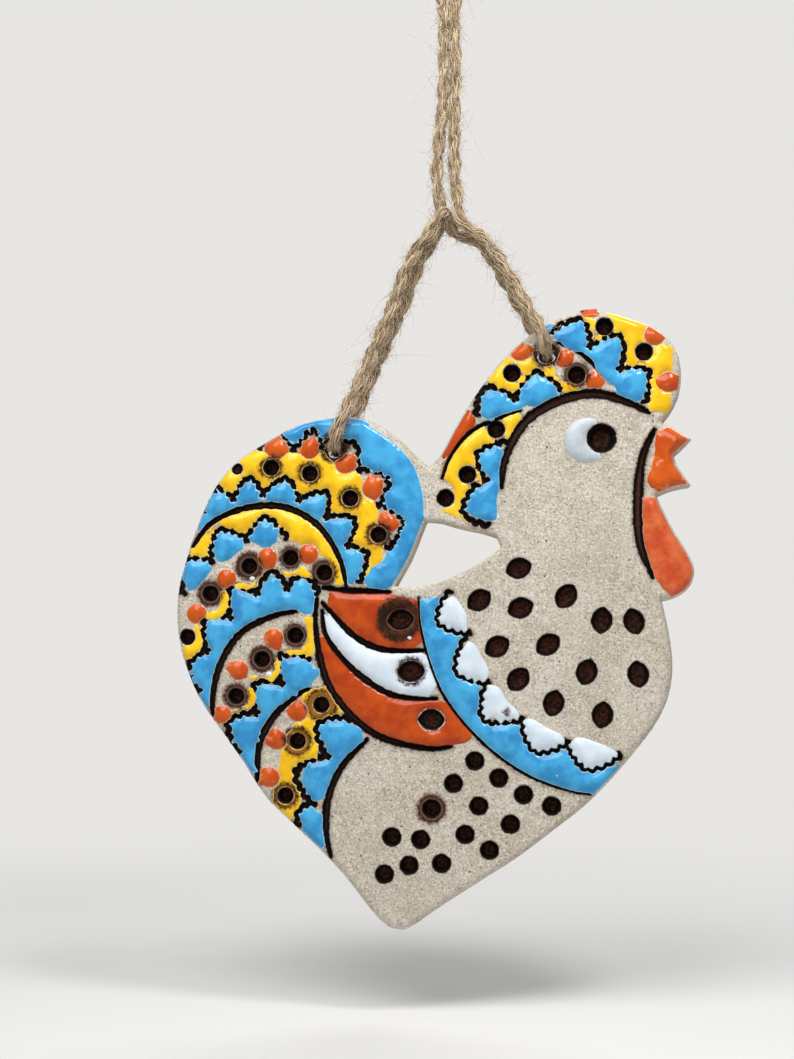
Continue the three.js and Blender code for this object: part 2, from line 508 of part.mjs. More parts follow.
const POOLS = [
  ['tail_rim_blue', 'blue', outlineOf(
    curve([
      [-27.6, 94.6], [-23.6, 97.4], [-14, 99.4], [-9, 99.2], [-4, 96.9], [2.7, 90.7], [4.9, 84],
      [4.9, 79.8], [2, 72.3], [-1.9, 67.4], [-3.9, 66.9], [-6.6, 67.2],
    ]),
    curve([[-5, 68.5], [-2.4, 72.4]]),
    back(lacePath(LACES.tailRim)),
  )],
  ['tail_rim_yellow', 'yellow', outlineOf(
    curve([
      [-39.6, 82], [-37, 87], [-31, 92.4], [-27, 92.8], [-21.2, 92.6], [-14.6, 92.3],
      [-12.2, 90.2], [-7.6, 88], [-6.6, 84.6], [-4.4, 82.4], [-3.2, 74.2], [-5.5, 70.2],
      [-7, 67.8],
    ]),
    back(lacePath(LACES.tailUpper)),
  )],
  ['tail_rim_lace_blue', 'blue', outlineOf(
    lacePath(LACES.tailUpper),
    back(grooveLine(TAIL_GROOVES.upper)),
    curve([[-40.3, 74.3], [-39.6, 78], [-38.4, 81]]),
  )],
  ['tail_middle_yellow', 'yellow', outlineOf(
    grooveLine(TAIL_GROOVES.upper),
    curve([[-10.4, 66.9], [-12.1, 67.6], [-13.2, 71.6], [-15.7, 73], [-18.2, 75], [-21, 75.6]]),
    back(lacePath(LACES.tailMiddle)),
    curve([[-42.4, 66], [-43.2, 70], [-41.8, 73.4]]),
  )],
  ['tail_middle_blue_1', 'blue', loop([
    [-41.7, 69], [-40.6, 70.7], [-38.6, 71.3], [-36.2, 70.2], [-37.6, 68.4], [-40.1, 65.8],
    [-41.5, 66.4],
  ])],
  ['tail_middle_blue_2', 'blue', loop([
    [-35.2, 74.5], [-34.6, 76.4], [-32.7, 76.9], [-30.6, 76.1], [-29.9, 74.4], [-31.6, 73.1],
    [-33.2, 71.7], [-35, 71.7],
  ])],
  ['tail_middle_blue_3', 'blue', loop([
    [-28.6, 75.4], [-27.6, 77.9], [-25.8, 78.8], [-24.2, 77.9], [-23.1, 75.8], [-26, 74.9],
  ])],
  ['tail_middle_patch_yellow', 'yellow', loop([
    [-39.9, 59.4], [-38.6, 59.4], [-38, 55.2], [-38.8, 53.6], [-40.9, 51.8], [-42, 53],
    [-42.2, 55.2], [-40, 55.6], [-39.4, 57.4],
  ])],
  ['tail_middle_lace_blue', 'blue', outlineOf(
    lacePath(LACES.tailMiddleLow),
    curve([[-38.6, 46.5], [-37.3, 42.4]]),
    grooveLine(TAIL_GROOVES.middle),
    curve([[-18, 61.3], [-16.5, 62.4], [-16.2, 64.6]]),
  )],
  ['tail_third_blue', 'blue', outlineOf(
    lacePath(LACES.tailThird),
    curve([[-30.6, 34.6], [-29.4, 31.6], [-28, 31.4]]),
    grooveLine(TAIL_GROOVES.third),
    curve([[-16.6, 47.6], [-16.1, 49.6], [-16.6, 51.8]]),
  )],
  ['tail_last_yellow', 'yellow', loop([
    [-14.6, 47.4], [-12.2, 44.4], [-10, 42.7], [-13.6, 41.6], [-16, 40.1], [-16.1, 36],
    [-15, 34.3], [-18.4, 33.1], [-20.8, 31.2], [-20.4, 28.6], [-18.4, 25.2], [-19.4, 22.8],
    [-20.6, 21.6], [-22.2, 22.8], [-24.2, 26], [-22.8, 31.2], [-22.6, 35], [-20.1, 40.1],
    [-17.7, 44.9], [-16.5, 46.8],
  ])],
  ['tail_last_blue', 'blue', loop([
    [-13.4, 39.9], [-11.4, 40.6], [-7.8, 39.2], [-6.9, 37.9], [-10, 35], [-13.6, 29.3],
    [-14.2, 26.2], [-15.3, 25.7], [-17.2, 27], [-17.3, 31.2], [-16, 32.4], [-14.1, 33.2],
    [-13.6, 35.5], [-14.1, 38],
  ])],
  ['tail_last_tip_blue', 'blue', loop([
    [-16, 24], [-15, 23], [-15.1, 20.6], [-14, 16.4], [-14.9, 16.6], [-18.4, 20.8], [-18.2, 22.6],
  ])],
  ['wing_top_orange', 'orange', loop([
    [-13.6, 65.4], [-9.2, 64.8], [0.5, 64.8], [3.4, 63.8], [3.7, 60.1], [4.4, 55.6], [0.9, 55.6],
    [-3.5, 56.2], [-7, 57.9], [-12.5, 63.5],
  ])],
  ['wing_middle_white', 'white', loop([
    [-13.9, 61.6], [-10.1, 57], [-6.1, 54.4], [-1.3, 53.4], [4.8, 53.4], [5.9, 50], [6.2, 46.2],
    [1.8, 46], [-1.3, 47], [-9.2, 52.7], [-11.8, 56.3],
  ])],
  ['wing_low_orange', 'orange', loop([
    [-14.9, 60.2], [-14, 55.3], [-11, 50.9], [-7, 47.4], [-3.5, 45.5], [0.9, 44.5], [8.2, 44.5],
    [10.2, 42.1], [14, 37.2], [8.4, 36.9], [4, 37.1], [-0.4, 37.8], [-5.7, 40.4], [-10.1, 43.9],
    [-13.1, 48.7], [-14.8, 54.4],
  ])],
  ['collar_blue', 'blue', outlineOf(
    curve([[4.4, 64.3], [7.1, 64.6], [9.2, 65.4]]),
    lacePath(COLLAR_LACE),
    curve([[41.8, 33], [39.2, 29.9], [37, 27.8]]),
    back(grooveLine(COLLAR_GROOVE)),
  )],
  ['collar_white_1', 'white', loop([
    [10.4, 65.2], [12.4, 62.8], [13.5, 60.1], [12.6, 58.9], [10.2, 60], [9.4, 61.9],
  ])],
  ['collar_white_2', 'white', loop([
    [14.6, 55.9], [15.9, 53.5], [17.6, 50.4], [16.5, 49.1], [13.4, 50.7], [12.7, 52.6],
    [13, 54.8],
  ])],
  ['collar_white_3', 'white', loop([
    [19.4, 47.4], [20.9, 44.7], [23.4, 42.5], [21.8, 41.2], [18.6, 41.8], [17.7, 43.8],
    [18.1, 46.5],
  ])],
  ['collar_white_4', 'white', loop([
    [25.1, 41.6], [28.6, 39.7], [31.7, 38.1], [30, 36.6], [27.3, 36.4], [25.5, 38.6],
  ])],
  ['collar_white_5', 'white', loop([
    [33.9, 38.1], [37.4, 37.2], [40.5, 35.7], [37.9, 33.4], [35.4, 33.9], [33.7, 35.9],
  ])],
  ['eye_white', 'white', ellipse(EYE.x, EYE.z, EYE_RADIUS, EYE_RADIUS, 0, 2 * PIT_SIDES)],
  ['beak_orange', 'orange', loop([
    [51.1, 96.5], [54.9, 96], [56, 95], [53.5, 92.9], [52.5, 91.5], [53.2, 89.4], [55.5, 86.3],
    [53.5, 85.8], [49.2, 84.9], [48.7, 85.6], [48.9, 88], [49.7, 91.5], [50.4, 94.3],
  ])],
  ['wattle_coral', 'coral', loop([
    [48.1, 83.7], [49, 83.4], [50.7, 80.4], [52.5, 77.3], [54.6, 73.1], [56, 69.7], [55.2, 66.7],
    [52.6, 64.9], [50.8, 65.6], [49, 68.8], [47.7, 74], [47.4, 79.2],
  ])],
  ['comb_top_yellow', 'yellow', outlineOf(
    curve([
      [48, 101.2], [49.7, 99.9], [51.4, 100], [52.4, 102.4], [52.6, 105.7], [52.9, 109.9],
      [52.4, 112.4], [50, 113.2], [48, 115.2], [47.6, 117], [44.9, 118.3], [41, 119.5],
      [40, 118], [38, 118], [36.9, 118.2], [36.2, 119], [33, 119.7], [29, 117.2],
    ]),
    lacePath(LACES.combTop),
  )],
  ['comb_top_blue', 'blue', outlineOf(
    back(lacePath(LACES.combTop)),
    curve([[29.4, 115.2], [31, 113.7]]),
    grooveLine(COMB_GROOVES.top),
    curve([[41, 105.4], [43.6, 103.4], [46.2, 102]]),
  )],
  ['comb_middle_yellow', 'yellow', outlineOf(
    back(lacePath(LACES.combMiddle)),
    curve([
      [14.2, 101.6], [16.6, 107.4], [19.6, 110.2], [23, 110.4], [25.8, 113], [26.8, 113.6],
      [27.2, 110.6], [29.3, 109.2], [31.2, 106.6], [35.4, 104.7], [34.5, 103.9], [32.2, 103.7],
    ]),
  )],
  ['comb_middle_blue', 'blue', outlineOf(
    lacePath(LACES.combMiddle),
    curve([[31, 103.2], [27.5, 102.4], [24.2, 101.2]]),
    curve([[23.7, 100.5], [20.6, 99.5], [18.8, 98.8]]),
  )],
  ['comb_side_orange', 'orange', loop([
    [14, 100.7], [15, 98.4], [13.2, 96.4], [11.3, 94], [9.6, 91.2], [8.4, 87.8], [8.2, 88.6],
    [8.7, 90.8], [10.4, 95], [12.5, 98.4],
  ])],
  ['comb_low_yellow', 'yellow', loop([
    [23.9, 99.5], [21.3, 98.2], [16.4, 96], [11.6, 91.5], [9.9, 87], [10.9, 85.3], [11, 83.9],
    [9.2, 81.8], [7.8, 81.4], [10.5, 80.3], [14.2, 78.6], [12.4, 81.1], [13, 83.6], [16.6, 87],
    [15.3, 90.1], [15.5, 92], [17.5, 93.8], [21.6, 95.1], [22.7, 96.7],
  ])],
  ['comb_low_blue', 'blue', loop([
    [20.2, 93], [18.5, 92.4], [16.9, 91.2], [17.6, 88.4], [17, 86.3], [15.4, 84.6], [14.1, 82.1],
    [14.9, 80.5], [17, 79.4], [19, 79.4], [19.2, 82.1], [18.8, 85.6], [19.5, 89.1],
  ])],
];

// Assembly

const ornament = new THREE.Group();
ornament.position.set(-HANG_POINT.x, 0, -HANG_POINT.z);

function addPiece(name, geometry, look) {
  const material = new THREE.MeshStandardMaterial({ ...look, metalness: 0 });
  const mesh = new THREE.Mesh(geometry, material);
  mesh.name = name;
  ornament.add(mesh);
}

addPiece('clay_plaque', geometryOf(clay), CLAY);

const TOP = FRONT - GLAZE_THICKNESS;

function spotSolid(spot, grow) {
  return solid(slab(
    ellipse(spot.x, spot.z, spot.rx + grow, spot.rz + grow, spot.tilt), ABOVE, FRONT,
  ));
}

const spotRoom = joined(spots.map((spot) => spotSolid(spot, DOT_CLEARANCE)));
const poolCut = relief.add(holesAndOpening);

for (const [name, glaze, outline] of POOLS) {
  const pool = solid(slab(outline, TOP, FRONT));
  const seated = pool.intersect(flatZone).subtract(poolCut).subtract(spotRoom);
  addPiece(`glaze_${name}`, geometryOf(largestPiece(seated)), GLAZE[glaze]);
}

for (const spot of spots) {
  const disc = solid(slab(ellipse(spot.x, spot.z, spot.rx, spot.rz, spot.tilt), TOP, FRONT));
  const seated = disc.intersect(flatZone).subtract(poolCut);
  addPiece(`glaze_${spot.name}`, geometryOf(largestPiece(seated)), GLAZE.orange);
}

// Twine: one loop. It hangs on the hook by its bight, crosses itself at the hitch, and goes
// down to each hole and back, so that each leg is double. Points are x, z and y.

const FRONT_RUN = FRONT - GLAZE_THICKNESS - TWINE_DIAMETER / 2 - TWINE_CLEARANCE;
const BACK_RUN = BACK + TWINE_DIAMETER / 2 + TWINE_CLEARANCE;
const [LEFT_X, LEFT_Z] = HANGING_HOLES.left;
const [RIGHT_X, RIGHT_Z] = HANGING_HOLES.right;

const LEFT_LEG = [
  [7.9, 143, 0.5], [7.8, 139.8, 1.5], [7.4, 136.8, 1.7], [5.1, 133.2, 1.5], [2.9, 128.4, 1.3],
  [1.3, 124, 1.3], [-3.2, 114, 1.8], [-6.2, 107.6, 3], [-8.5, 102.6, 4.2],
  [-10.4, 98.4, BACK_RUN], [LEFT_X + 0.5, LEFT_Z + TWINE_RISE, BACK_RUN],
  [LEFT_X + 0.1, LEFT_Z + 0.4, BACK], [LEFT_X, LEFT_Z, 0], [LEFT_X, LEFT_Z + 0.4, FRONT],
  [LEFT_X + 0.4, LEFT_Z + TWINE_RISE, FRONT_RUN],
  [-10.5, 99.2, FRONT_RUN], [-9.1, 102.6, -4.8], [-7.2, 107.4, -3.4], [-4.5, 114, -2.2],
  [-0.4, 124, -1.5], [1.1, 128.2, -1.5], [4, 133.6, -1.5], [5.6, 135.7, -1.5],
];
const HITCH = [
  [5.6, 135.7, -1.5], [7.2, 138.2, -1.5], [8.1, 139.8, -1.4], [8.9, 140.5, -1], [9.5, 140, -0.2],
  [9.8, 138.8, 0.7], [10.2, 137.5, 1.4], [11, 136.6, 1.8], [12.5, 136.1, 1.9],
];
const RIGHT_LEG = [
  [12.5, 136.1, 1.9], [14.2, 135.6, 1.8], [16.2, 134.2, 1.6], [18, 131.8, 1.6], [20.8, 126.8, 1.6],
  [22.8, 123.4, 2.2], [24.9, 119.9, 3.6], [27, 116.2, BACK_RUN],
  [RIGHT_X - 0.5, RIGHT_Z + TWINE_RISE, BACK_RUN],
  [RIGHT_X - 0.1, RIGHT_Z + 0.4, BACK], [RIGHT_X, RIGHT_Z, 0], [RIGHT_X, RIGHT_Z + 0.4, FRONT],
  [RIGHT_X - 0.4, RIGHT_Z + TWINE_RISE, FRONT_RUN],
  [RIGHT_X - 1.4, RIGHT_Z + TWINE_LEAVE, FRONT_RUN],
  [25.6, 119.9, -4.9], [23.3, 124.3, -3], [21.1, 128.4, -1.9], [19, 131.8, -1.4],
  [16.3, 135.2, -1.1], [13.9, 136.9, -0.9], [12.3, 138.4, -0.9], [11.7, 140.2, -0.9],
  [11.5, 143, -0.6],
];
const LEFT_TOP = [HANG_POINT.x - TWINE_PAIR / 2, HANG_POINT.z - BIGHT_DROP, 0];
const RIGHT_TOP = [HANG_POINT.x + TWINE_PAIR / 2, HANG_POINT.z - BIGHT_DROP, 0];
const LEFT_STRAND = [
  [7.9, 143, 0.5], [7.4, 147, 0.2], [7.6, 152, 0], [8.6, 162, 0], [8.9, 172, 0], LEFT_TOP,
];
const RIGHT_STRAND = [
  [11.5, 143, -0.6], [11.1, 147, -0.3], [10.9, 152, 0], [11, 162, 0], [11.2, 172, 0], RIGHT_TOP,
];
const BIGHT_RADIUS = (HOOK_ROOM + TWINE_DIAMETER) / 2;
const BIGHT_TURN = [180, 135, 90, 45, 0].map((turn) => {
  const angle = THREE.MathUtils.degToRad(turn);
  return [
    HANG_POINT.x + BIGHT_RADIUS * Math.cos(angle),
    HANG_POINT.z - HOOK_ROOM / 2 + BIGHT_RADIUS * Math.sin(angle),
    0,
  ];
});
const BIGHT = [LEFT_TOP, ...BIGHT_TURN, RIGHT_TOP];

// A stretch of twine stops short of the next one by half the gap between them.
function twine(points, step) {
  const stops = points.map(([x, z, y]) => new THREE.Vector3(x, y, z));
  const pull = (end, next) => end.clone().add(
    next.clone().sub(end).setLength(TWINE_GAP / 2),
  );
  const last = stops.length - 1;
  const first = pull(stops[0], stops[1]);
  stops[last] = pull(stops[last], stops[last - 1]);
  stops[0] = first;
  const path = new THREE.CatmullRomCurve3(stops, false, 'centripetal');
  const section = new THREE.Shape(ellipse(0, 0, TWINE_DIAMETER / 2, TWINE_DIAMETER / 2, 0, 8));
  return new THREE.ExtrudeGeometry(section, {
    steps: Math.round(path.getLength() / step),
    extrudePath: path,
  });
}

addPiece('twine_bight', twine(BIGHT, TWINE_STEP / 2), TWINE);
addPiece('twine_strand_left', twine(LEFT_STRAND, 2 * TWINE_STEP), TWINE);
addPiece('twine_strand_right', twine(RIGHT_STRAND, 2 * TWINE_STEP), TWINE);
addPiece('twine_hitch', twine(HITCH, TWINE_STEP), TWINE);
addPiece('twine_leg_left', twine(LEFT_LEG, TWINE_STEP), TWINE);
addPiece('twine_leg_right', twine(RIGHT_LEG, TWINE_STEP), TWINE);

export default ornament;
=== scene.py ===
"""Looks of a hanging clay rooster: fired clay with stamped relief, pooled glaze and jute twine.

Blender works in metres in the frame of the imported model. The drawing of the rooster is in
millimetres, as in the part's own source: x to the right and z up from the lower tip of the clay,
and y from front to back.
"""

import math
import random

import bmesh
import bpy
import numpy as np
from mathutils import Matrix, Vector, kdtree, noise
from mathutils.geometry import delaunay_2d_cdt


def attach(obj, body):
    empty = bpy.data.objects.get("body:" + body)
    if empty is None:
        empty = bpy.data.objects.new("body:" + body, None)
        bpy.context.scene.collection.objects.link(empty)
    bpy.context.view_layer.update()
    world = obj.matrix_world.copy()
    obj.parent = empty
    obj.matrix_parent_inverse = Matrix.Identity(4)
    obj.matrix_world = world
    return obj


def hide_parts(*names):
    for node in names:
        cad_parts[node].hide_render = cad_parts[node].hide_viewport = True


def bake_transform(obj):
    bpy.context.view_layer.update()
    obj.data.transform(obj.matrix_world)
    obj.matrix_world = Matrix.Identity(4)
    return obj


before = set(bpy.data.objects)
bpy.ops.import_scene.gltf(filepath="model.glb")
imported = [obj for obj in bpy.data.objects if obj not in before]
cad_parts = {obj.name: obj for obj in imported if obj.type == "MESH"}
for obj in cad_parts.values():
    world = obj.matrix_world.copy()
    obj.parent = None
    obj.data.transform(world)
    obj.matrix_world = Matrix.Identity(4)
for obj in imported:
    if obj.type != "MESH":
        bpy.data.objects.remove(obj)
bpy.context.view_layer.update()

# The drawing's place in the frame, and the clay's sizes
HANG_X, HANG_Z = 9.9, 190.0
FRONT, BACK = -3.5, 3.5
RIM_DEPTH = 1.7
ROUND_REACH, ROUND_DEPTH, BACK_ROUND_DEPTH = 1.6, 2.1, 0.9
PIT_DEPTH, SEED_DEPTH, PIT_TAPER = 2.2, 1.7, 0.4
OPENING_FLARE, HOLE_FLARE = 0.9, 0.7

# The mesh of the clay: steps, what is meshed finely, the free margins at its edges, and the wall
FINE_STEP, COARSE_STEP, BACK_STEP, EDGE_STEP = 0.27, 0.55, 1.3, 0.3
FINE_REACH, FINE_PIT = 0.5, (-0.3, 0.6)
FRONT_MARGIN, BACK_MARGIN = 0.12, 0.35
WALL_LEVELS, WALL_WAVE = (0.3, 0.62), 0.1
ROW_SHARE, JITTER = 0.866, 0.13

# The relief of the clay: slopes into lines and pits, where it fades at the rim, the lips beside lines
# and pits by height, way from the edge and width, and the outlines of pits and stains
LINE_SLOPE, PIT_SLOPE, RIM_FADE = (-0.05, 0.38), (-0.02, 0.28), (0.4, 1.6)
LINE_LIP, PIT_LIP = (0.09, 0.22, 0.2), (0.1, 0.13, 0.1)
SEED_POWERS, PIT_WAVE, STAIN_SPREAD = (1.3, 2.2), 0.07, 0.1

# Stamped lines: half widths, depths, and the form of their lobes and scallops
LACE_HALF, COLLAR_HALF = 0.53, 0.45
LACE_DEPTH, GROOVE_DEPTH = 0.75, 0.95
LINE_STEP, LOBE_POWER = 0.08, 1.36
SCALLOP, SCALLOP_STEP, SCALLOP_SWELL, SCALLOP_MIDDLE = 0.7, 1.7, 0.3, 0.55

# Glaze: steps, thickness and rounding of its fields
POOL_STEP, POOL_EDGE_STEP, EDGE_RING = 0.4, 0.18, 0.1
POOL_THICKNESS, POOL_ROUND = 0.68, 1.5
BEAD_THICKNESS, BEAD_ROUND = 0.95, 1.9
STRIP_THICKNESS, STRIP_ROUND = 0.4, 0.7
POOL_SINK, POOL_WAVE, EVENING = 0.3, 0.08, 4

# The edges of glaze: clearances, how far they are drawn, when they count as on, beside or across a
# line, which runs of a line they trace, and how far they run out at the rim
EDGE_CLEARANCE, BEAD_CLEARANCE, PIT_CLEARANCE = -0.08, 0.1, 0.06
POOL_PULL, LOBE_PULL, BEAD_PULL, STRIP_PULL = 2.4, 4.0, 1.5, 0.6
FACING, ON_LINE, TOUCHING, CROSSING, LINE_ROOM = (0.1, 0.7), 0.02, 0.15, 0.1, 0.3
TRACED_RUN, TRACED_SHARES = (3, 45), (0.0, 0.3, 0.6, 0.8)
BEAD_GROWTH, SPIKE, KINK, PIT_REACH = 1.12, 0.3, 0.6, (0.2, 1.0, 1.25)
RIM_REACH, RIM_OVERLAP, RIM_KEPT, ON_RIM = 1.15, 0.6, 0.35, 0.05

# Twine
TWINE_DIAMETER, TWINE_STEP = 2.0, 0.3
PLIES, PLY_OFFSET, PLY_PITCH = 2, 0.5, 11.0
YARNS, YARN_OFFSET, YARN_PITCH, YARN_RADIUS = 13, 0.66, -16.0, 0.16
CORE_RADIUS, CORE_TONE = 0.56, 0.1
HAIRS_PER_MM, HAIR_START, HAIR_ROOT, HAIR_TIP, HAIR_STEP = 12.0, 0.9, 0.042, 0.02, 0.4
# Lengths of short, long and stray hairs, and where the long and the stray ones begin among all
HAIR_SHORT, HAIR_LONG, HAIR_STRAY, HAIR_KINDS = (0.9, 2.6), (2.6, 4.8), (5, 8), (0.88, 0.985)
HAIR_BEND, HAIR_CURL = (0.08, 0.4), (0.03, 0.1)

# The view, the floor, the backdrop and the light
VIEW_DISTANCE, VIEW_AZIMUTH, VIEW_ELEVATION = 320.0, 5.0, -4.0
VIEW_TARGET = (-0.19, 77.68, FRONT)
VIEW_LENS = 56.36
FLOOR_SIZE, FLOOR_DROP = 30.0, 15.0
FLOOR_FADE = (60.0, 320.0)
FLOOR_TONES = ((0.75, 0.74, 0.72, 1.0), (0.79, 0.78, 0.76, 1.0))
PALE = (0.8, 0.79, 0.77, 1.0)
WORLD_LIGHT, WORLD_STRENGTH = (0.94, 0.97, 1.0, 1.0), 0.28
# Lamps: name, x, z and y, width and watts
LAMPS = [
    ("window", (-75, 335, -225), 240, 0.96), ("top", (130, 350, -150), 95, 0.56),
    ("rear", (90, 320, 290), 240, 0.5),
]
LAMPS_AIM = (5, 65, 0)

# Scalloped lines, as valleys and peaks in turn
LACES = [
    [(-27.4, 93.4), (-23.2, 96.6), (-20.4, 93.1), (-16.6, 97.1), (-14.6, 93.6), (-8.5, 94.4),
     (-7.7, 89.2), (-2, 87.7), (-3.9, 82.4), (1.2, 79.2), (-2.3, 74)],
    [(-38, 81.2), (-35.6, 85.8), (-32.2, 83.6), (-29.3, 88), (-26.5, 84.4), (-21.8, 87.8),
     (-19.5, 83.3), (-13.8, 85), (-14.2, 80), (-8.6, 79.8), (-10, 74.4), (-6, 72.9), (-7.8, 67.4)],
    [(-41.8, 65.2), (-41.6, 71.7), (-36.4, 71.5), (-35.2, 77.7), (-29.5, 75.7), (-26.2, 80.2), (-21.6, 76)],
    [(-15.6, 65.1), (-18.3, 69), (-21.6, 66), (-24.6, 69.6), (-27.4, 65.2), (-32.6, 66.2),
     (-32.4, 60.5), (-37.6, 60), (-36.9, 54.2), (-40.7, 51.3), (-38.4, 46.4)],
    [(-16.9, 52.7), (-22.8, 53.1), (-22.2, 47.8), (-27.7, 47.8), (-27.2, 42.2), (-32.8, 40.4),
     (-30.5, 34.7)],
    [(-9.4, 41), (-15.6, 40.2), (-13.2, 33.8), (-19.7, 31.2), (-16, 25.1), (-19.2, 23.6), (-19, 20.8)],
    [(29.7, 115.5), (35.4, 117.8), (36.9, 112.5), (43.1, 114.9), (42.6, 108.1), (48.1, 107.9),
     (47.3, 101.6)],
    [(15.5, 99.5), (17.2, 105.2), (22.8, 102.5), (26.4, 108.1), (31.5, 104.3)],
    [(21.3, 94.3), (15.4, 92.2), (17.4, 86.9)],
    [(15.7, 86.4), (12.5, 81.1), (17.6, 78.7)],
]
COLLAR_LACE = [
    (10.2, 65.8), (7.6, 59.8), (13.8, 57.8), (11, 50.4), (17.3, 48.4), (16.3, 41.2), (23.8, 41.5),
    (26, 35.2), (32.3, 37.2), (36, 31.8), (42.2, 35),
]
# Half width in the middle, share of it at the ends, and the points along the groove
GROOVES = [
    (0.78, 0.5, [(-40.3, 74.3), (-36.7, 79), (-30, 82), (-22.3, 82.2), (-15.7, 78.7), (-11.3, 72),
                 (-10, 66.7)]),
    (0.72, 0.6, [(-35.8, 41.2), (-36.1, 44.8), (-34.7, 51.5), (-30.6, 57.8), (-23.9, 61.2),
                 (-19.6, 62)]),
    (0.72, 0.6, [(-27.3, 29), (-26.8, 36.5), (-23.7, 42.2), (-18.9, 46.3), (-17.2, 47)]),
    (0.72, 0.5, [(-5.9, 37.4), (-10.7, 32.4), (-13.4, 26.4), (-13.8, 19.2), (-12.9, 15.1)]),
    (0.62, 0.6, [(-14.5, 66.5), (-9.2, 65.9), (-4.8, 65.8), (-1.6, 65.6)]),
    (0.7, 0.5, [(-14.7, 63.6), (-8.3, 57), (-3.5, 54.7), (0.9, 54.3), (5, 54.4)]),
    (0.68, 0.5, [(-14.7, 62), (-14, 57.5), (-10.5, 52.6), (-6.1, 48.7), (-1.3, 46), (4, 45.2),
                 (7.4, 45.2)]),
    (0.75, 0.5, [(-15.8, 64.5), (-16, 58.8), (-13.2, 47.4), (-4.8, 38.6), (6.2, 35.7), (10.2, 36.1)]),
    (1.0, 0.4, [(19.9, 85.6), (20.6, 90.8), (24.4, 98.1), (30.6, 102.2), (37.9, 103.6), (44.2, 101.9),
                (48.3, 99.8)]),
    (0.95, 0.4, [(49.2, 96.5), (47.1, 91.8), (46.1, 85.3), (46.3, 74.9), (48.6, 68.3)]),
    (0.32, 0.8, [(4, 64.5), (4.4, 58.8), (8.4, 46.5), (16.3, 36.8), (25.1, 30.6), (33.9, 27.6),
                 (36.6, 27.3)]),
    (0.45, 0.7, [(31, 113.7), (34.8, 111.9), (38.3, 108.8), (41, 105.7)]),
    (0.45, 0.7, [(8.6, 87.5), (9.9, 91.2), (14, 96.4), (18.8, 98.8), (20.6, 99.5), (23.7, 100.5)]),
]
# Brown stains that bled out of the pits: x, z and radius, and the value far from any
FAR_OUT = -3.0
HALOS = [
    (-24.8, 89.9, 2.1), (-17.2, 88.7, 2.2), (-9.3, 83.8, 2.2), (-3.8, 76.7, 2.3), (-29, 70.7, 2.6),
    (-20.9, 72.3, 2.1), (-14.3, 69.4, 2.4), (-36.6, 65.4, 2.4), (-19.9, 57.3, 2.2), (-26.4, 52.7, 2.4),
    (-31.4, 45.6, 2.3), (-14.8, 44, 3.0), (-19.4, 37, 2.7), (-21.7, 26.6, 2.4), (34.5, 107.3, 2.4),
    (0.2, 60.3, 4.2), (2.5, 50.4, 2.6), (6.4, 24.3, 2.6), (-12.5, 93.6, 2.7), (28.7, 111.4, 2.6),
    (20.8, 42.7, 0.4),
]
# Small pits beside the rim: x, z, radius and depth
RIM_PITS = [(-31.5, 89.7, 1.1, 1.2)]
# Small fields of glaze beside the large ones
SMALL_POOLS = [
    ("strip_right", "yellow", [
        (-24.2, 71), (-23.2, 70.2), (-21.6, 69.6), (-20, 69.7), (-18.6, 70.8), (-17.7, 70), (-16.4, 68.5),
        (-17.8, 68.4), (-19.2, 69), (-20.2, 68.6), (-21.9, 68.5), (-23.1, 69.4), (-24.2, 69.9)]),
    ("strip_middle", "yellow", [
        (-31.9, 67), (-30.4, 67.6), (-28.9, 67.2), (-27.6, 68.2), (-26.6, 69.5), (-25.6, 69.9),
        (-26.3, 68.8), (-27.3, 67.4), (-28, 66.4), (-29.8, 66.4), (-31.6, 66.3)]),
    ("strip_left", "yellow", [
        (-34.8, 65.6), (-33.4, 66), (-33.1, 64.8), (-33.3, 62.8), (-34.2, 61), (-35.9, 60.3),
        (-37.3, 60.4), (-37.5, 61.8), (-36, 62), (-34.9, 62.6), (-34.6, 64)]),
    ("third_strip_right", "yellow", [
        (-18.3, 60.5), (-16.7, 60.9), (-16.4, 58.5), (-16.3, 55), (-16.6, 53.2), (-18.5, 53.5),
        (-20.5, 53.6), (-22.3, 54.2), (-21.5, 54.8), (-19.5, 54.6), (-18, 55.5), (-17.6, 57.5),
        (-17.9, 59.5)]),
    ("third_strip_middle", "yellow", [
        (-23.3, 53.6), (-22.8, 52), (-23.3, 49.6), (-24, 48.8), (-26.4, 48.7), (-28.4, 48.2),
        (-28.8, 49.3), (-27.2, 49.6), (-25.2, 49.6), (-23.9, 50.6), (-23.6, 52.4)]),
    ("third_strip_left", "yellow", [
        (-29.2, 47.2), (-28.2, 47), (-27.8, 43.8), (-31.4, 42.5), (-31.8, 41.9), (-32.4, 42.6),
        (-29.2, 44.2)]),
    ("third_dot_low", "bead", [
        (-32.2, 42.1), (-32.8, 43.5), (-34, 43.9), (-35.3, 43.4), (-35.8, 42.1), (-35.2, 40.8),
        (-34, 40.3), (-32.7, 40.8)]),
    ("rim_strip_low", "yellow", [
        (-5.4, 75), (-3.2, 74), (-2.9, 72.4), (-4, 70.2), (-5.3, 68.2), (-6.3, 67.6), (-6.6, 68.6),
        (-5.9, 70.4), (-5.1, 72.2), (-5.2, 73.6)]),
    ("comb_edge_orange", "bead", [
        (35.1, 119.5), (35.6, 118.7), (37.2, 118.4), (38.9, 118.7), (39.4, 119.4), (38.6, 120),
        (37.2, 120.2), (35.8, 120)]),
    ("comb_edge_yellow", "yellow", [
        (30.7, 117.2), (31.7, 117.4), (33.2, 118), (34.6, 118.6), (35, 119.1), (34.2, 119.3),
        (32.6, 118.9), (31.2, 118)]),
    ("comb_edge_blue", "blue", [
        (28.8, 115.9), (29.4, 115.6), (29.9, 116.2), (30.2, 117), (29.7, 117.3), (29, 116.7)]),
]
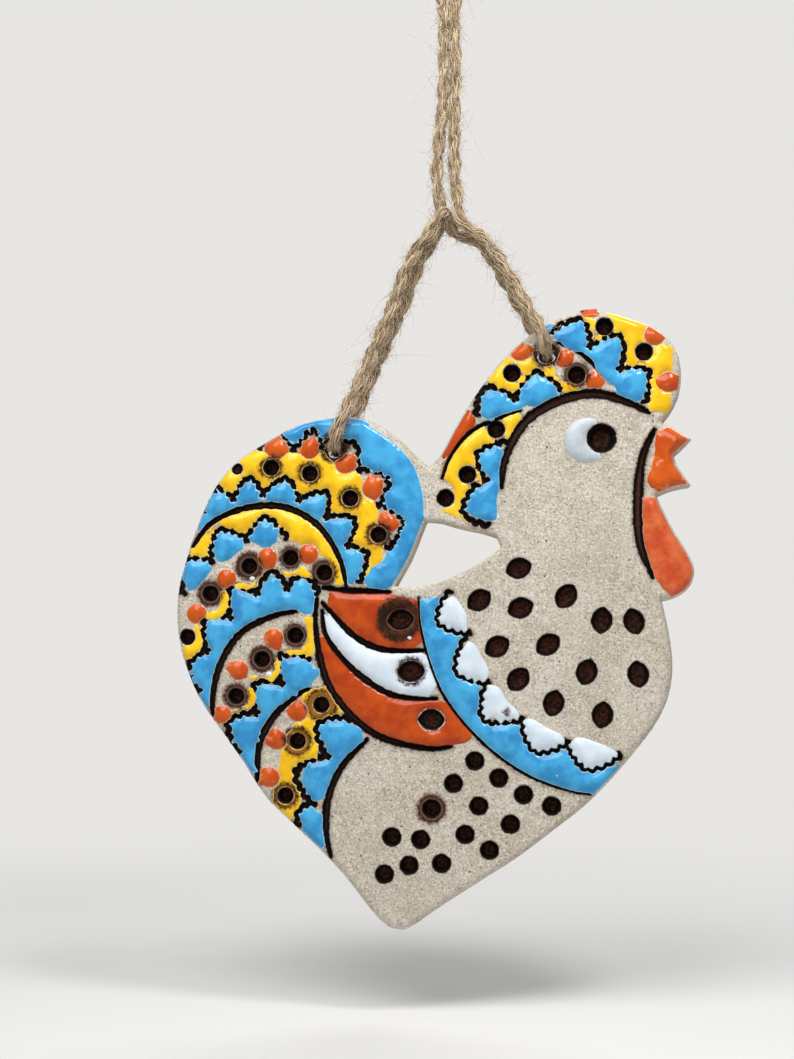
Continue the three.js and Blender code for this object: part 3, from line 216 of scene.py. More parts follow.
# Ridges along the beak and the wattle: their points, height and width
RIDGES = [
    ([(55.2, 94.9), (53.4, 95.2), (52.5, 92.4), (52.6, 90), (53.5, 88.2), (55.2, 86.6)], 0.6, 0.9),
    ([(48.6, 83), (50, 79), (52, 74.5), (53, 71)], 0.5, 1.8),
]
# Specks of white glaze: x, z, radius and height
WHITE_FLECKS = [
    (-28.4, 68.3, 0.55, 0.35), (-25, 49.8, 0.7, 0.4), (2.3, 56.8, 0.75, 1.0), (30.3, 30.8, 0.62, 0.95),
]

# The holes for the twine, and its depth before and behind the clay
LEFT_HOLE, RIGHT_HOLE, HOLE_RADIUS = (-12.5, 93.6), (28.7, 111.4), 1.85
FRONT_RUN, BACK_RUN = -5.7, 5.1
# The loop of twine: x, z and y, from the left strand down to each hole, over the hitch and up again
TWINE = [
    (8.75, 182, 0), (8.9, 172, 0), (8.6, 162, 0), (7.6, 152, 0), (7.4, 147, 0.2), (7.9, 143, 0.5),
    (7.8, 139.8, 1.5), (7.4, 136.8, 1.7), (5.1, 133.2, 1.5), (2.9, 128.4, 1.3), (1.3, 124, 1.3),
    (-3.2, 114, 1.8), (-6.2, 107.6, 3), (-8.5, 102.6, 4.2), (-10.4, 98.4, BACK_RUN),
    (-12, 95.8, BACK_RUN), (-12.4, 94, BACK), (-12.5, 93.6, 0), (-12.5, 94, FRONT),
    (-12.1, 95.8, FRONT_RUN), (-10.5, 99.2, FRONT_RUN), (-9.1, 102.6, -4.8), (-7.2, 107.4, -3.4),
    (-4.5, 114, -2.2), (-0.4, 124, -1.5), (1.1, 128.2, -1.5), (4, 133.6, -1.5), (5.6, 135.7, -1.5),
    (7.2, 138.2, -1.5), (8.1, 139.8, -1.4), (8.9, 140.5, -1), (9.5, 140, -0.2), (9.8, 138.8, 0.7),
    (10.2, 137.5, 1.4), (11, 136.6, 1.8), (12.5, 136.1, 1.9), (14.2, 135.6, 1.8), (16.2, 134.2, 1.6),
    (18, 131.8, 1.6), (20.8, 126.8, 1.6), (22.8, 123.4, 2.2), (24.9, 119.9, 3.6), (27, 116.2, BACK_RUN),
    (28.2, 113.6, BACK_RUN), (28.6, 111.8, BACK), (28.7, 111.4, 0), (28.7, 111.8, FRONT),
    (28.3, 113.6, FRONT_RUN), (27.3, 116.4, FRONT_RUN), (25.6, 119.9, -4.9), (23.3, 124.3, -3),
    (21.1, 128.4, -1.9), (19, 131.8, -1.4), (16.3, 135.2, -1.1), (13.9, 136.9, -0.9), (12.3, 138.4, -0.9),
    (11.7, 140.2, -0.9), (11.5, 143, -0.6), (11.1, 147, -0.3), (10.9, 152, 0), (11, 162, 0),
    (11.2, 172, 0), (11.05, 182, 0), (12.4, 188.5, 0), (11.67, 190.27, 0), (9.9, 191, 0),
    (8.13, 190.27, 0), (7.4, 188.5, 0),
]


def place(x, z, y=0.0):
    """A point of the drawing in the frame."""
    return Vector(((x - HANG_X) / 1000, y / 1000, (z - HANG_Z) / 1000))


def srgb(red, green, blue):
    """A colour as a screen shows it, from 0 to 255, as the linear colour that a shader takes."""
    share = np.array([red, green, blue]) / 255
    return (*np.where(share < 0.04045, share / 12.92, ((share + 0.055) / 1.055) ** 2.4), 1.0)


def smoothstep(low, high, value):
    share = np.clip((value - low) / (high - low), 0, 1)
    return share * share * (3 - 2 * share)


def unit(vectors):
    """Each row at a length of one."""
    return vectors / np.maximum(np.linalg.norm(vectors, axis=1), 1e-6)[:, None]


def rightward(along):
    """The direction to the right of each direction along a line."""
    return unit(np.stack([along[:, 1], -along[:, 0]], 1))


def wobble(points, size, seed):
    """A smooth random value from about -1 to 1 at each point, with that size of its waves."""
    return np.array([noise.noise((x / size, z / size, seed)) for x, z in points])


def along_loop(loop, reach=1):
    """From the points before each point of a loop to those after it."""
    return np.roll(loop, -reach, axis=0) - np.roll(loop, reach, axis=0)


def mid_neighbours(loop):
    """The middle between the neighbours of each point of a loop."""
    return (np.roll(loop, 1, axis=0) + np.roll(loop, -1, axis=0)) / 2


def circle(middle, radius, height=1.0):
    turn = np.linspace(0, 2 * math.pi, 40, endpoint=False)
    return np.array(middle) + radius * np.stack([np.cos(turn), height * np.sin(turn)], 1)


# Outlines


def node_mesh(node):
    """A node's points in the drawing, each once, and its triangles."""
    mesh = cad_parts[node].data
    points = np.empty(3 * len(mesh.vertices), np.float32)
    mesh.vertices.foreach_get("co", points)
    points = np.round(points.reshape(-1, 3).astype(float) * 1000 + (HANG_X, 0, HANG_Z), 3)
    points, number = np.unique(points, axis=0, return_inverse=True)
    mesh.calc_loop_triangles()
    triangles = np.empty(3 * len(mesh.loop_triangles), np.int32)
    mesh.loop_triangles.foreach_get("vertices", triangles)
    return points, number.ravel()[triangles].reshape(-1, 3)


def chained(edges):
    """Loops of point numbers from loose edges."""
    beside = {}
    for a, b in edges:
        beside.setdefault(a, []).append(b)
        beside.setdefault(b, []).append(a)
    left, loops = set(beside), []
    while left:
        loop, following = [], min(left)
        while following is not None:
            loop.append(following)
            left.discard(following)
            following = next((p for p in beside[following] if p in left), None)
        if len(loop) > 2:
            loops.append(loop)
    return loops


def level_loops(node, level, flat):
    """The outlines, largest first, of a node's flat faces or of its walls at one depth."""
    points, triangles = node_mesh(node)
    at = np.abs(points[:, 1] - level) < 0.01
    count = {}
    for triangle in triangles:
        if flat and not at[triangle].all():
            continue
        for a, b in zip(triangle, np.roll(triangle, -1)):
            if at[a] and at[b]:
                edge = (min(a, b), max(a, b))
                count[edge] = count.get(edge, 0) + 1
    edges = [edge for edge, times in count.items() if times == 1 or not flat]
    loops = [counterclockwise(points[loop][:, [0, 2]]) for loop in chained(edges)]
    return sorted(loops, key=area, reverse=True)


def area(loop):
    x, z = loop[:, 0], loop[:, 1]
    return 0.5 * float(np.sum(x * np.roll(z, -1) - z * np.roll(x, -1)))


def counterclockwise(loop):
    return loop if area(loop) > 0 else loop[::-1]


def spaced(points, step, closed):
    """Points at even steps along a line."""
    points = np.asarray(points, float)
    if closed:
        points = np.vstack([points, points[:1]])
    along = np.concatenate([[0], np.cumsum(np.linalg.norm(np.diff(points, axis=0), axis=1))])
    count = max(3, round(along[-1] / step))
    stops = np.linspace(0, along[-1], count + 1)
    if closed:
        stops = stops[:-1]
    return np.stack([np.interp(stops, along, points[:, i]) for i in range(points.shape[1])], 1)


def curve(points, step, closed=False):
    """A centripetal curve through the points, at even steps."""
    points = np.asarray(points, float)
    if closed:
        ends = np.vstack([points[-1:], points, points[:2]])
    else:
        ends = np.vstack([2 * points[0] - points[1], points, 2 * points[-1] - points[-2]])
    line = []
    for a, b, c, d in zip(ends, ends[1:], ends[2:], ends[3:]):
        t1 = math.sqrt(np.linalg.norm(b - a))
        t2 = t1 + math.sqrt(np.linalg.norm(c - b))
        t3 = t2 + math.sqrt(np.linalg.norm(d - c))
        for t in np.linspace(t1, t2, 12, endpoint=False):
            ab = a + (b - a) * t / t1
            bc = b + (c - b) * (t - t1) / (t2 - t1)
            cd = c + (d - c) * (t - t2) / (t3 - t2)
            abc = ab + (bc - ab) * t / t2
            bcd = bc + (cd - bc) * (t - t1) / (t3 - t1)
            line.append(abc + (bcd - abc) * (t - t1) / (t2 - t1))
    if not closed:
        line.append(points[-1])
    return spaced(line, step, closed)


def softened(loop, passes):
    """A loop with its small kinks smoothed, and its sharp corners kept."""
    along = np.roll(loop, -3, axis=0) - loop
    before = loop - np.roll(loop, 3, axis=0)
    turn = np.abs(np.arctan2(
        before[:, 0] * along[:, 1] - before[:, 1] * along[:, 0], np.sum(before * along, axis=1)))
    free = (turn < KINK)[:, None] * 0.5
    for _ in range(passes):
        loop = loop + free * (mid_neighbours(loop) - loop)
    return loop


def inside(loop, points):
    """Whether each point lies inside a loop."""
    found = np.zeros(len(points), bool)
    x, z = points[:, 0], points[:, 1]
    for (x0, z0), (x1, z1) in zip(loop, np.roll(loop, -1, axis=0)):
        if z0 != z1:
            found ^= ((z0 > z) != (z1 > z)) & (x < (x1 - x0) * (z - z0) / (z1 - z0) + x0)
    return found


def tree_of(points):
    tree = kdtree.KDTree(len(points))
    for i, (x, z) in enumerate(points):
        tree.insert((x, z, 0.0), i)
    tree.balance()
    return tree


def nearest(tree, points):
    """The number of the nearest point of a tree, and the way to it."""
    found = [tree.find((x, z, 0.0)) for x, z in points]
    return np.array([f[1] for f in found]), np.array([f[2] for f in found])


# Stamped lines


def lobe_line(valley, peak, after):
    """A pointed lobe from one valley over a peak to the next, in small uneven scallops, and how
    thick it is."""
    valley, peak, after = np.array(valley), np.array(peak), np.array(after)
    middle = (valley + after) / 2
    turn = np.linspace(0, math.pi, 121)[:, None]
    run = np.sign(np.cos(turn)) * np.abs(np.cos(turn)) ** LOBE_POWER
    rise = np.abs(np.sin(turn)) ** LOBE_POWER
    line = spaced(middle + run * (valley - middle) + rise * (peak - middle), LINE_STEP, False)
    out = rightward(np.gradient(line, axis=0))
    out *= np.sign(np.sum(out * (line - middle), axis=1))[:, None]
    bumps = max(4, round(LINE_STEP * len(line) / SCALLOP_STEP))
    share = np.linspace(0, 1, len(line)) + 0.03 * wobble(line, 2.5, 21.0)
    wave = np.abs(np.sin(math.pi * bumps * share)) - SCALLOP_MIDDLE + 0.3 * wobble(line, 0.7, 22.0)
    return line + out * SCALLOP * wave[:, None], 1 + SCALLOP_SWELL * wave


def stamped_lines():
    """Points along all the stamped lines, with the half width and the depth at each."""
    found = []
    for stops, half in [*((stops, LACE_HALF) for stops in LACES), (COLLAR_LACE, COLLAR_HALF)]:
        for i in range(0, len(stops) - 2, 2):
            line, thick = lobe_line(*stops[i:i + 3])
            found.append((line, half * thick, LACE_DEPTH))
    for half, end, stops in GROOVES:
        line = curve(stops, LINE_STEP)
        share = np.sin(math.pi * np.linspace(0, 1, len(line))) ** 0.6
        found.append((line, half * (end + (1 - end) * share), GROOVE_DEPTH))
    lines, halves, depths = zip(*found)
    points, halves = np.concatenate(lines), np.concatenate(halves)
    halves = halves * (1 + 0.2 * wobble(points, 1.1, 3.0) + 0.16 * wobble(points, 0.45, 5.0))
    return points, halves, np.repeat(depths, [len(line) for line in lines])


LINE_POINTS, LINE_HALVES, LINE_DEPTHS = stamped_lines()
LINE_TREE = tree_of(LINE_POINTS)
LINE_ALONG = np.gradient(LINE_POINTS, axis=0)

SILHOUETTE, OPENING = (
    softened(spaced(level_loops("clay_plaque", level, False)[0], EDGE_STEP, True), 8)
    for level in (BACK - RIM_DEPTH / 2, BACK - OPENING_FLARE))
EDGES = [SILHOUETTE, OPENING, *(circle(hole, HOLE_RADIUS) for hole in (LEFT_HOLE, RIGHT_HOLE))]
EDGE_POINTS = np.concatenate(EDGES)
# How far the rounding of each edge reaches inward, and how deep it is there
EDGE_REACH, EDGE_DEPTH = (
    np.repeat([rounding, OPENING_FLARE, HOLE_FLARE, HOLE_FLARE], [len(edge) for edge in EDGES])
    for rounding in (ROUND_REACH, ROUND_DEPTH))
EDGE_TREE = tree_of(EDGE_POINTS)


def pits():
    """Each pit's middle, its two directions, half length, half width and depth, and whether it is
    shaped like a seed."""
    found = []
    for depth, is_seed in ((PIT_DEPTH, False), (SEED_DEPTH, True)):
        for loop in level_loops("clay_plaque", FRONT + depth, True):
            middle = loop.mean(axis=0)
            spread = loop - middle
            axis = np.linalg.svd(spread, full_matrices=False)[2][0]
            across = np.array([-axis[1], axis[0]])
            long = np.abs(spread @ axis).max() + PIT_TAPER
            wide = np.abs(spread @ across).max() + PIT_TAPER
            if not is_seed:
                long = wide = (long + wide) / 2
            found.append((middle, axis, across, long, wide, depth, is_seed))
    for x, z, radius, depth in RIM_PITS:
        found.append((np.array([x, z]), np.array([1, 0]), np.array([0, 1]), radius, radius, depth, False))
    return found


PITS = pits()


def pit_field(points):
    """How far inside its nearest pit each point is, from 1 in the middle to 0 at the edge, and how
    deep that pit is."""
    best, depth = np.full(len(points), -9.0), np.zeros(len(points))
    for number, (middle, axis, across, long, wide, deep, is_seed) in enumerate(PITS):
        near = np.flatnonzero(np.abs(points - middle).max(axis=1) < 2.5 * long)
        if not len(near):
            continue
        u, v = (points[near] - middle) @ axis / long, (points[near] - middle) @ across / wide
        if is_seed:
            value = 1 - (np.abs(v) ** SEED_POWERS[0] + np.abs(u) ** SEED_POWERS[1])
        else:
            value = 1 - np.hypot(u, v)
        value += PIT_WAVE * wobble(points[near], 0.9, 10.0 + number)
        better = value > best[near]
        best[near[better]] = value[better]
        depth[near[better]] = deep
    return best, depth


def halo_field(points):
    """How many millimetres inside a brown stain each point is."""
    best = np.full(len(points), FAR_OUT)
    for x, z, radius in HALOS:
        best = np.maximum(best, radius + STAIN_SPREAD - np.hypot(points[:, 0] - x, points[:, 1] - z))
    return best


def line_field(points):
    """How many millimetres inside a stamped line each point is, and the depth of that line."""
    number, way = nearest(LINE_TREE, points)
    return LINE_HALVES[number] - way, LINE_DEPTHS[number]


def rim_drop(points, depth_share=1.0):
    """How far the rounded edges of the clay fall away from its face."""
    number, way = nearest(EDGE_TREE, points)
    short = 1 - np.clip(way / EDGE_REACH[number], 0, 1)
    return depth_share * EDGE_DEPTH[number] * (1 - np.sqrt(np.clip(1 - short * short, 0, 1)))


# Meshes


def honeycomb(low, high, step, seed):
    """Points in offset rows, each moved a little at random."""
    chance = np.random.default_rng(seed)
    rows = np.arange(low[1], high[1], step * ROW_SHARE)
    across = np.arange(low[0], high[0], step)
    grid = np.stack(np.meshgrid(across, rows), -1)
    grid[1::2, :, 0] += step / 2
    return grid.reshape(-1, 2) + chance.uniform(-JITTER, JITTER, (grid.size // 2, 2)) * step


def filled(loops, inner):
    """Triangles that fill the first loop round the others, through the inner points.
    The points of the loops come first, in their order."""
    edges, start = [], 0
    for loop in loops:
        edges += [(start + i, start + (i + 1) % len(loop)) for i in range(len(loop))]
        start += len(loop)
    made = delaunay_2d_cdt([Vector(p) for p in np.concatenate([*loops, inner])], edges, [], 1, 1e-5)
    points = np.array([tuple(v) for v in made[0]])
    faces = np.array([f for f in made[2] if len(f) == 3])
    middles = points[faces].mean(axis=1)
    for hole in loops[1:]:
        near = np.all((middles > hole.min(axis=0)) & (middles < hole.max(axis=0)), axis=1)
        gone = np.zeros(len(faces), bool)
        gone[near] = inside(hole, middles[near])
        faces, middles = faces[~gone], middles[~gone]
    a, b, c = (points[faces[:, i]] for i in range(3))
    turned = (b - a)[:, 0] * (c - a)[:, 1] - (b - a)[:, 1] * (c - a)[:, 0] < 0
    faces[turned] = faces[turned][:, ::-1]
    used = np.unique(faces)
    renumber = np.full(len(points), -1)
    renumber[used] = np.arange(len(used))
    return points[used], renumber[faces]


def sides_of(faces):
    return np.concatenate([faces[:, [0, 1]], faces[:, [1, 2]], faces[:, [2, 0]]])


def border(faces):
    """The edges, in the faces' own direction, that only one triangle has."""
    there = {(a, b) for a, b in sides_of(faces)}
    return [(a, b) for a, b in there if (b, a) not in there]


def at_depth(points, depth):
    """Points of the drawing, x, y and z, from their places and depths."""
    return np.stack([points[:, 0], depth, points[:, 1]], 1)


def closed_mesh(name, points, front, back, faces):
    """A closed solid between two depths over one set of triangles."""
    count = len(points)
    walls = [(a + count, b + count, b, a) for a, b in border(faces)]
    faces = [tuple(f) for f in faces] + [tuple(f[::-1] + count) for f in faces] + walls
    return mesh_object(name, np.concatenate([at_depth(points, front), at_depth(points, back)]), faces)


def evened(values, faces, fixed, passes):
    """Values at the points of a mesh, evened out between neighbours, apart from the fixed points."""
    sides = sides_of(faces)
    sides = np.concatenate([sides, sides[:, ::-1]])
    count = np.maximum(np.bincount(sides[:, 0], minlength=len(values)), 1)
    for _ in range(passes):
        mean = np.bincount(sides[:, 0], values[sides[:, 1]], len(values)) / count
        values = np.where(fixed, values, mean)
    return values


def added(name, data):
    """A new object in the scene."""
    made = bpy.data.objects.new(name, data)
    bpy.context.scene.collection.objects.link(made)
    return made


def mesh_object(name, points, faces):
    """A smooth mesh object from points of the drawing, x, y and z."""
    mesh = bpy.data.meshes.new(name)
    scaled = (np.asarray(points) - (HANG_X, 0, HANG_Z)) / 1000
    mesh.from_pydata([tuple(p) for p in scaled], [], [tuple(int(i) for i in f) for f in faces])
    mesh.shade_smooth()
    return added(name, mesh)


def set_values(made, name, values):
    attribute = made.data.attributes.new(name, "FLOAT", "POINT")
    attribute.data.foreach_set("value", np.asarray(values, np.float32))


def dress(made, material):
    """Turns the faces outward, and gives the piece its material."""
    work = bmesh.new()
    work.from_mesh(made.data)
    bmesh.ops.recalc_face_normals(work, faces=work.faces)
    work.to_mesh(made.data)
    work.free()
    made.data.materials.append(material)


# Materials


class Nodes:
    """A node tree in which each new node gets its inputs, values or sockets, at once."""

    def __init__(self, tree):
        self.nodes, self.links = tree.nodes, tree.links

    def put(self, value, socket):
        if isinstance(value, bpy.types.NodeSocket):
            self.links.new(value, socket)
        else:
            socket.default_value = value

    def node(self, kind, output, inputs, **settings):
        node = self.nodes.new(f"ShaderNode{kind}")
        for name, value in settings.items():
            setattr(node, name, value)
        for name, value in inputs.items():
            self.put(value, node.inputs[name])
        return node.outputs[output]

    def math(self, operation, a, b=0.0):
        return self.node("Math", 0, {0: a, 1: b}, operation=operation)

    def seen_rays(self):
        """1 for rays that show a surface to the camera, in a mirror or through glass, 0 for light."""
        seen = self.node("LightPath", "Is Camera Ray", {})
        for kind in ("Is Glossy Ray", "Is Transmission Ray"):
            seen = self.math("MAXIMUM", seen, self.node("LightPath", kind, {}))
        return seen

    def show(self, share, first, second, output):
        """Shows the first shader, or the second by that share."""
        either = self.node("MixShader", 0, {0: share, 1: first, 2: second})
        self.put(either, self.nodes[output].inputs["Surface"])


class Look(Nodes):
    """The nodes of a material, with places in millimetres."""

    def __init__(self, name):
        self.material = bpy.data.materials.new(name)
        self.material.use_nodes = True
        super().__init__(self.material.node_tree)
        self.shader = self.nodes["Principled BSDF"]
        where = self.node("TexCoord", "Object", {})
        self.place = self.node("VectorMath", 0, {0: where, "Scale": 1000}, operation="SCALE")

    def noise(self, size, detail=3.0, roughness=0.55):
        """A random value with that size of its spots in millimetres."""
        return self.node("TexNoise", "Fac", {
            "Vector": self.place, "Scale": 1 / size, "Detail": detail, "Roughness": roughness})

    def spots(self, cell, radius, share):
        """Small round spots, one in some cells of that size."""
        colour = self.node("TexVoronoi", "Color", {"Vector": self.place, "Scale": 1 / cell})
        some = self.math("LESS_THAN", self.node("SeparateColor", 0, {0: colour}), share)
        near = self.grade(colour.node.outputs["Distance"], radius / cell, 0.5 * radius / cell)
        return self.math("MULTIPLY", some, near)

    def grade(self, value, low, high, start=0.0, end=1.0):
        """Runs from start to end as the value goes from low to high."""
        if low > high:
            low, high, start, end = high, low, end, start
        inputs = {"Value": value, "From Min": low, "From Max": high, "To Min": start, "To Max": end}
        return self.node("MapRange", "Result", inputs, interpolation_type="SMOOTHSTEP")

    def shaken(self, value, size, amount):
        """A value with a random amount added, so that what it bounds gets a rough edge."""
        shake = self.math("MULTIPLY", self.math("SUBTRACT", self.noise(size), 0.5), amount)
        return self.math("ADD", value, shake)

    def mix(self, share, a, b):
        return self.node("Mix", 2, {"Factor": share, 6: a, 7: b}, data_type="RGBA")

    def value(self, name):
        return self.node("Attribute", "Fac", {}, attribute_name=name)

    def surface(self, **inputs):
        """Sets inputs of the shader, and takes the material from it."""
        for name, value in inputs.items():
            self.put(value, self.shader.inputs[name.replace("_", " ")])
        return self.material

    def bump(self, height, depth):
        """Small relief of that depth in millimetres."""
        return self.node("Bump", "Normal", {"Strength": 1.0, "Distance": depth / 1000, "Height": height})


def clay_look():
    look = Look("fired_clay")
    line, pit, stain = (look.value(name) for name in ("line", "pit", "stain"))
    grain = look.noise(0.4, 3.0, 0.7)
    lip = look.math("MULTIPLY", look.grade(pit, -0.3, -0.12, 0.0, 0.22), look.grade(stain, 0.1, 0.6))
    black = srgb(18, 10, 8)
    lining = look.mix(look.grade(look.shaken(line, 0.5, 0.3), 0.45, 0.75), black, srgb(70, 44, 35))
    brown = look.mix(look.grade(look.noise(0.5), 0.35, 0.65), srgb(38, 20, 15), srgb(88, 50, 38))
    floor = look.mix(look.grade(look.shaken(pit, 0.5, 0.3), 0.32, 0.5), black, brown)
    colour = look.mix(look.grade(look.noise(9.0), 0.35, 0.65), srgb(214, 205, 190), srgb(199, 188, 170))
    # Blotches, grains, specks, soot beside lines and pits, stains and lips, and ink in lines and pits
    for share, tone in (
            (look.grade(look.noise(1.3, 4.0), 0.46, 0.68, 0.0, 0.5), srgb(178, 166, 148)),
            (look.grade(grain, 0.54, 0.7, 0.0, 0.8), srgb(136, 118, 98)),
            (look.grade(grain, 0.5, 0.34, 0.0, 0.8), srgb(244, 237, 224)),
            (look.spots(0.8, 0.16, 0.45), srgb(92, 78, 66)),
            (look.spots(2.6, 0.24, 0.5), srgb(52, 42, 36)),
            (look.grade(look.shaken(line, 0.9, 1.3), -0.75, 0.05, 0.0, 0.6), srgb(112, 90, 76)),
            (look.grade(look.shaken(pit, 0.4, 0.3), -0.16, 0.0, 0.0, 0.6), srgb(104, 80, 68)),
            (look.grade(look.shaken(stain, 0.7, 1.7), -0.8, 0.3), srgb(72, 40, 29)),
            (lip, srgb(176, 148, 126)),
            (look.grade(look.shaken(line, 0.45, 0.55), -0.12, 0.02), lining),
            (look.grade(look.shaken(pit, 0.35, 0.12), -0.04, 0.03), floor)):
        colour = look.mix(share, colour, tone)
    return look.surface(Base_Color=colour, Roughness=0.9, Specular_IOR_Level=0.15,
                        Normal=look.bump(look.noise(0.5, 4.0, 0.7), 0.42))


# Each glaze's deeper and main colours, the colour of its thin edge, its roughness and its slot
GLAZES = {
    "blue": (srgb(46, 138, 196), srgb(68, 168, 219), srgb(160, 208, 228), 0.1, "glaze_blue"),
    "yellow": (srgb(240, 182, 8), srgb(250, 203, 30), srgb(236, 206, 120), 0.12, "glaze_yellow"),
    "orange": (srgb(172, 54, 0), srgb(194, 76, 0), srgb(120, 50, 26), 0.13, "glaze_orange"),
    "bead": (srgb(190, 70, 2), srgb(208, 90, 12), srgb(230, 176, 150), 0.14, "glaze_orange"),
    "coral": (srgb(196, 74, 30), srgb(216, 106, 60), srgb(222, 160, 138), 0.42, "glaze_coral"),
    "white": (srgb(206, 218, 229), srgb(221, 231, 239), srgb(204, 206, 206), 0.1, "glaze_white"),
    # The eye is the white glaze again, rougher, with its colours painted greyer: the grey is painted shade
    # over the eye
    "eye": (srgb(178, 188, 195), srgb(194, 203, 209), srgb(204, 198, 186), 0.25, "glaze_white"),
}


def glaze_look(name):
    deep, main, pale, gloss, _ = GLAZES[name]
    look = Look(f"glaze_{name}")
    colour = look.mix(look.grade(look.noise(3.0), 0.35, 0.65), deep, main)
    colour = look.mix(look.spots(0.8, 0.085, 0.3), colour, srgb(60, 52, 46))
    if name == "bead":
        # Pale pink blotches on the beads: partly thin, worn glaze and partly a painted glare highlight
        glare_and_wear = look.grade(look.noise(1.5), 0.6, 0.72, 0.0, 0.6)
        colour = look.mix(glare_and_wear, colour, srgb(232, 160, 132))
    stain = look.value("stain")
    stained = look.grade(look.shaken(stain, 0.6, 1.9), -0.7, 0.4)
    burnt = look.mix(look.grade(look.noise(1.1), 0.4, 0.7), srgb(36, 12, 3), srgb(80, 36, 2))
    if name == "yellow":
        amber = look.grade(look.shaken(stain, 0.5, 0.9), 0.2, 0.8, 0.0, 0.75)
        burnt = look.mix(amber, burnt, srgb(158, 104, 26))
    colour = look.mix(stained, colour, burnt)
    edge = look.shaken(look.value("inset"), 0.5, 0.2)
    colour = look.mix(look.grade(edge, 0.02, 0.2), pale, colour)
    rough = look.grade(look.noise(1.2), 0.3, 0.7, gloss * 0.8, gloss * 1.3)
    rough = look.math("MAXIMUM", rough, look.math("MULTIPLY", stained, 0.9))
    return look.surface(Base_Color=colour, Roughness=rough, Specular_IOR_Level=0.27,
                        Normal=look.bump(look.noise(0.7, 2.0), 0.02))


def jute_look():
    look = Look("jute")
    colour = look.mix(look.value("tone"), srgb(150, 128, 100), srgb(210, 189, 158))
    colour = look.mix(look.grade(look.noise(0.5, 4.0), 0.5, 0.75, 0.0, 0.4), colour, srgb(108, 88, 68))
    relief = look.bump(look.noise(0.15, 2.0), 0.05)
    return look.surface(Base_Color=colour, Roughness=0.85, Normal=relief)


# Clay


def warp(points):
    """How the whole slab is out of flat."""
    return 0.14 * wobble(points, 14.0, 1.0)


def lip(value, height, way, width):
    """A raised lip outside a field's edge."""
    return height * np.exp(-((value + way) / width) ** 2)


def clay_heights(points):
    """The depth of the front of the clay at each point, and the values that its colours come from."""
    line, line_depth = line_field(points)
    pit, pit_depth = pit_field(points)
    drop = rim_drop(points)
    pressed = np.maximum(line_depth * smoothstep(*LINE_SLOPE, line), pit_depth * smoothstep(*PIT_SLOPE, pit))
    lips = lip(line, *LINE_LIP) + lip(pit, *PIT_LIP)
    lips[(pit > 0) | (line > 0)] = 0
    uneven = warp(points) + 0.05 * wobble(points, 1.4, 2.0) + 0.05 * wobble(points, 0.55, 4.0)
    flat = 1 - smoothstep(*RIM_FADE, drop)
    return FRONT + drop + pressed * flat - lips * flat + uneven * flat, line, pit


def make_clay(material):
    low, high = SILHOUETTE.min(axis=0), SILHOUETTE.max(axis=0)
    inner = []
    for step, seed in ((FINE_STEP, 1), (COARSE_STEP, 2)):
        loose = honeycomb(low, high, step, seed)
        line, pit, way = line_field(loose)[0], pit_field(loose)[0], nearest(EDGE_TREE, loose)[1]
        fine = (line > -FINE_REACH) | ((pit > FINE_PIT[0]) & (pit < FINE_PIT[1])) | (way < ROUND_REACH)
        inner.append(loose[fine & (way > FRONT_MARGIN) if step == FINE_STEP else ~fine])
    face, front_faces = filled(EDGES, np.concatenate(inner))
    height, line, pit = clay_heights(face)
    loose = honeycomb(low, high, BACK_STEP, 3)
    rear, rear_faces = filled(EDGES, loose[nearest(EDGE_TREE, loose)[1] > BACK_MARGIN])
    rear_y = BACK - rim_drop(rear, BACK_ROUND_DEPTH / ROUND_DEPTH) + 0.06 * wobble(rear, 2.2, 6.0)
    front_points, rear_points = at_depth(face, height), at_depth(rear, rear_y)
    faces = [tuple(f) for f in front_faces] + [tuple(f[::-1] + len(face)) for f in rear_faces]
    front_border, match = border(front_faces), tree_of(rear)
    start, wall, columns = len(face) + len(rear), [], {}
    for a in sorted({a for a, _ in front_border}):
        below = match.find((*face[a], 0.0))[1]
        columns[a] = [a]
        for share in WALL_LEVELS:
            point = front_points[a] + (rear_points[below] - front_points[a]) * share
            point[1] += WALL_WAVE * noise.noise((point[0] / 3, point[2] / 3, 9 + share))
            columns[a].append(start + len(wall))
            wall.append(point)
        columns[a].append(below + len(face))
    for a, b in front_border:
        for p, q, r, s in zip(columns[a], columns[a][1:], columns[b], columns[b][1:]):
            faces.append((r, p, q, s))
    made = mesh_object("clay_body", np.concatenate([front_points, rear_points, wall]), faces)
    other = np.full(len(rear) + len(wall), -2.0)
    set_values(made, "line", np.concatenate([np.clip(line, -2, 2), other]))
    set_values(made, "pit", np.concatenate([np.clip(pit, -2, 1), other]))
    wall_stain = halo_field(np.array(wall)[:, [0, 2]])
    set_values(made, "stain", np.concatenate([halo_field(face), np.full(len(rear), FAR_OUT), wall_stain]))
    dress(made, material)
    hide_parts("clay_plaque")
    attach(made, "rooster")


# Glaze


def drawn(loop, turned, tree, points, halves, pull, clearance):
    """A loop whose points outside the given lines are drawn to those that they face."""
    out = turned * rightward(along_loop(loop, 2))
    number, way = nearest(tree, loop)
    away = (loop - points[number]) / np.maximum(way, ON_LINE)[:, None]
    gap = way - halves[number] - clearance
    facing = smoothstep(*FACING, -np.sum(out * away, axis=1))
    kept = 1 - facing * (1 - smoothstep(0.5 * pull, pull, gap))
    moved = np.where(gap > 0, gap * kept, 0.0) - gap
    made = loop + away * np.where(way > ON_LINE, moved, 0.0)[:, None]
    number, way = nearest(tree, made)
    crossed = (gap > 0) & (way - halves[number] < clearance - CROSSING)
    return np.where(crossed[:, None], loop, made)


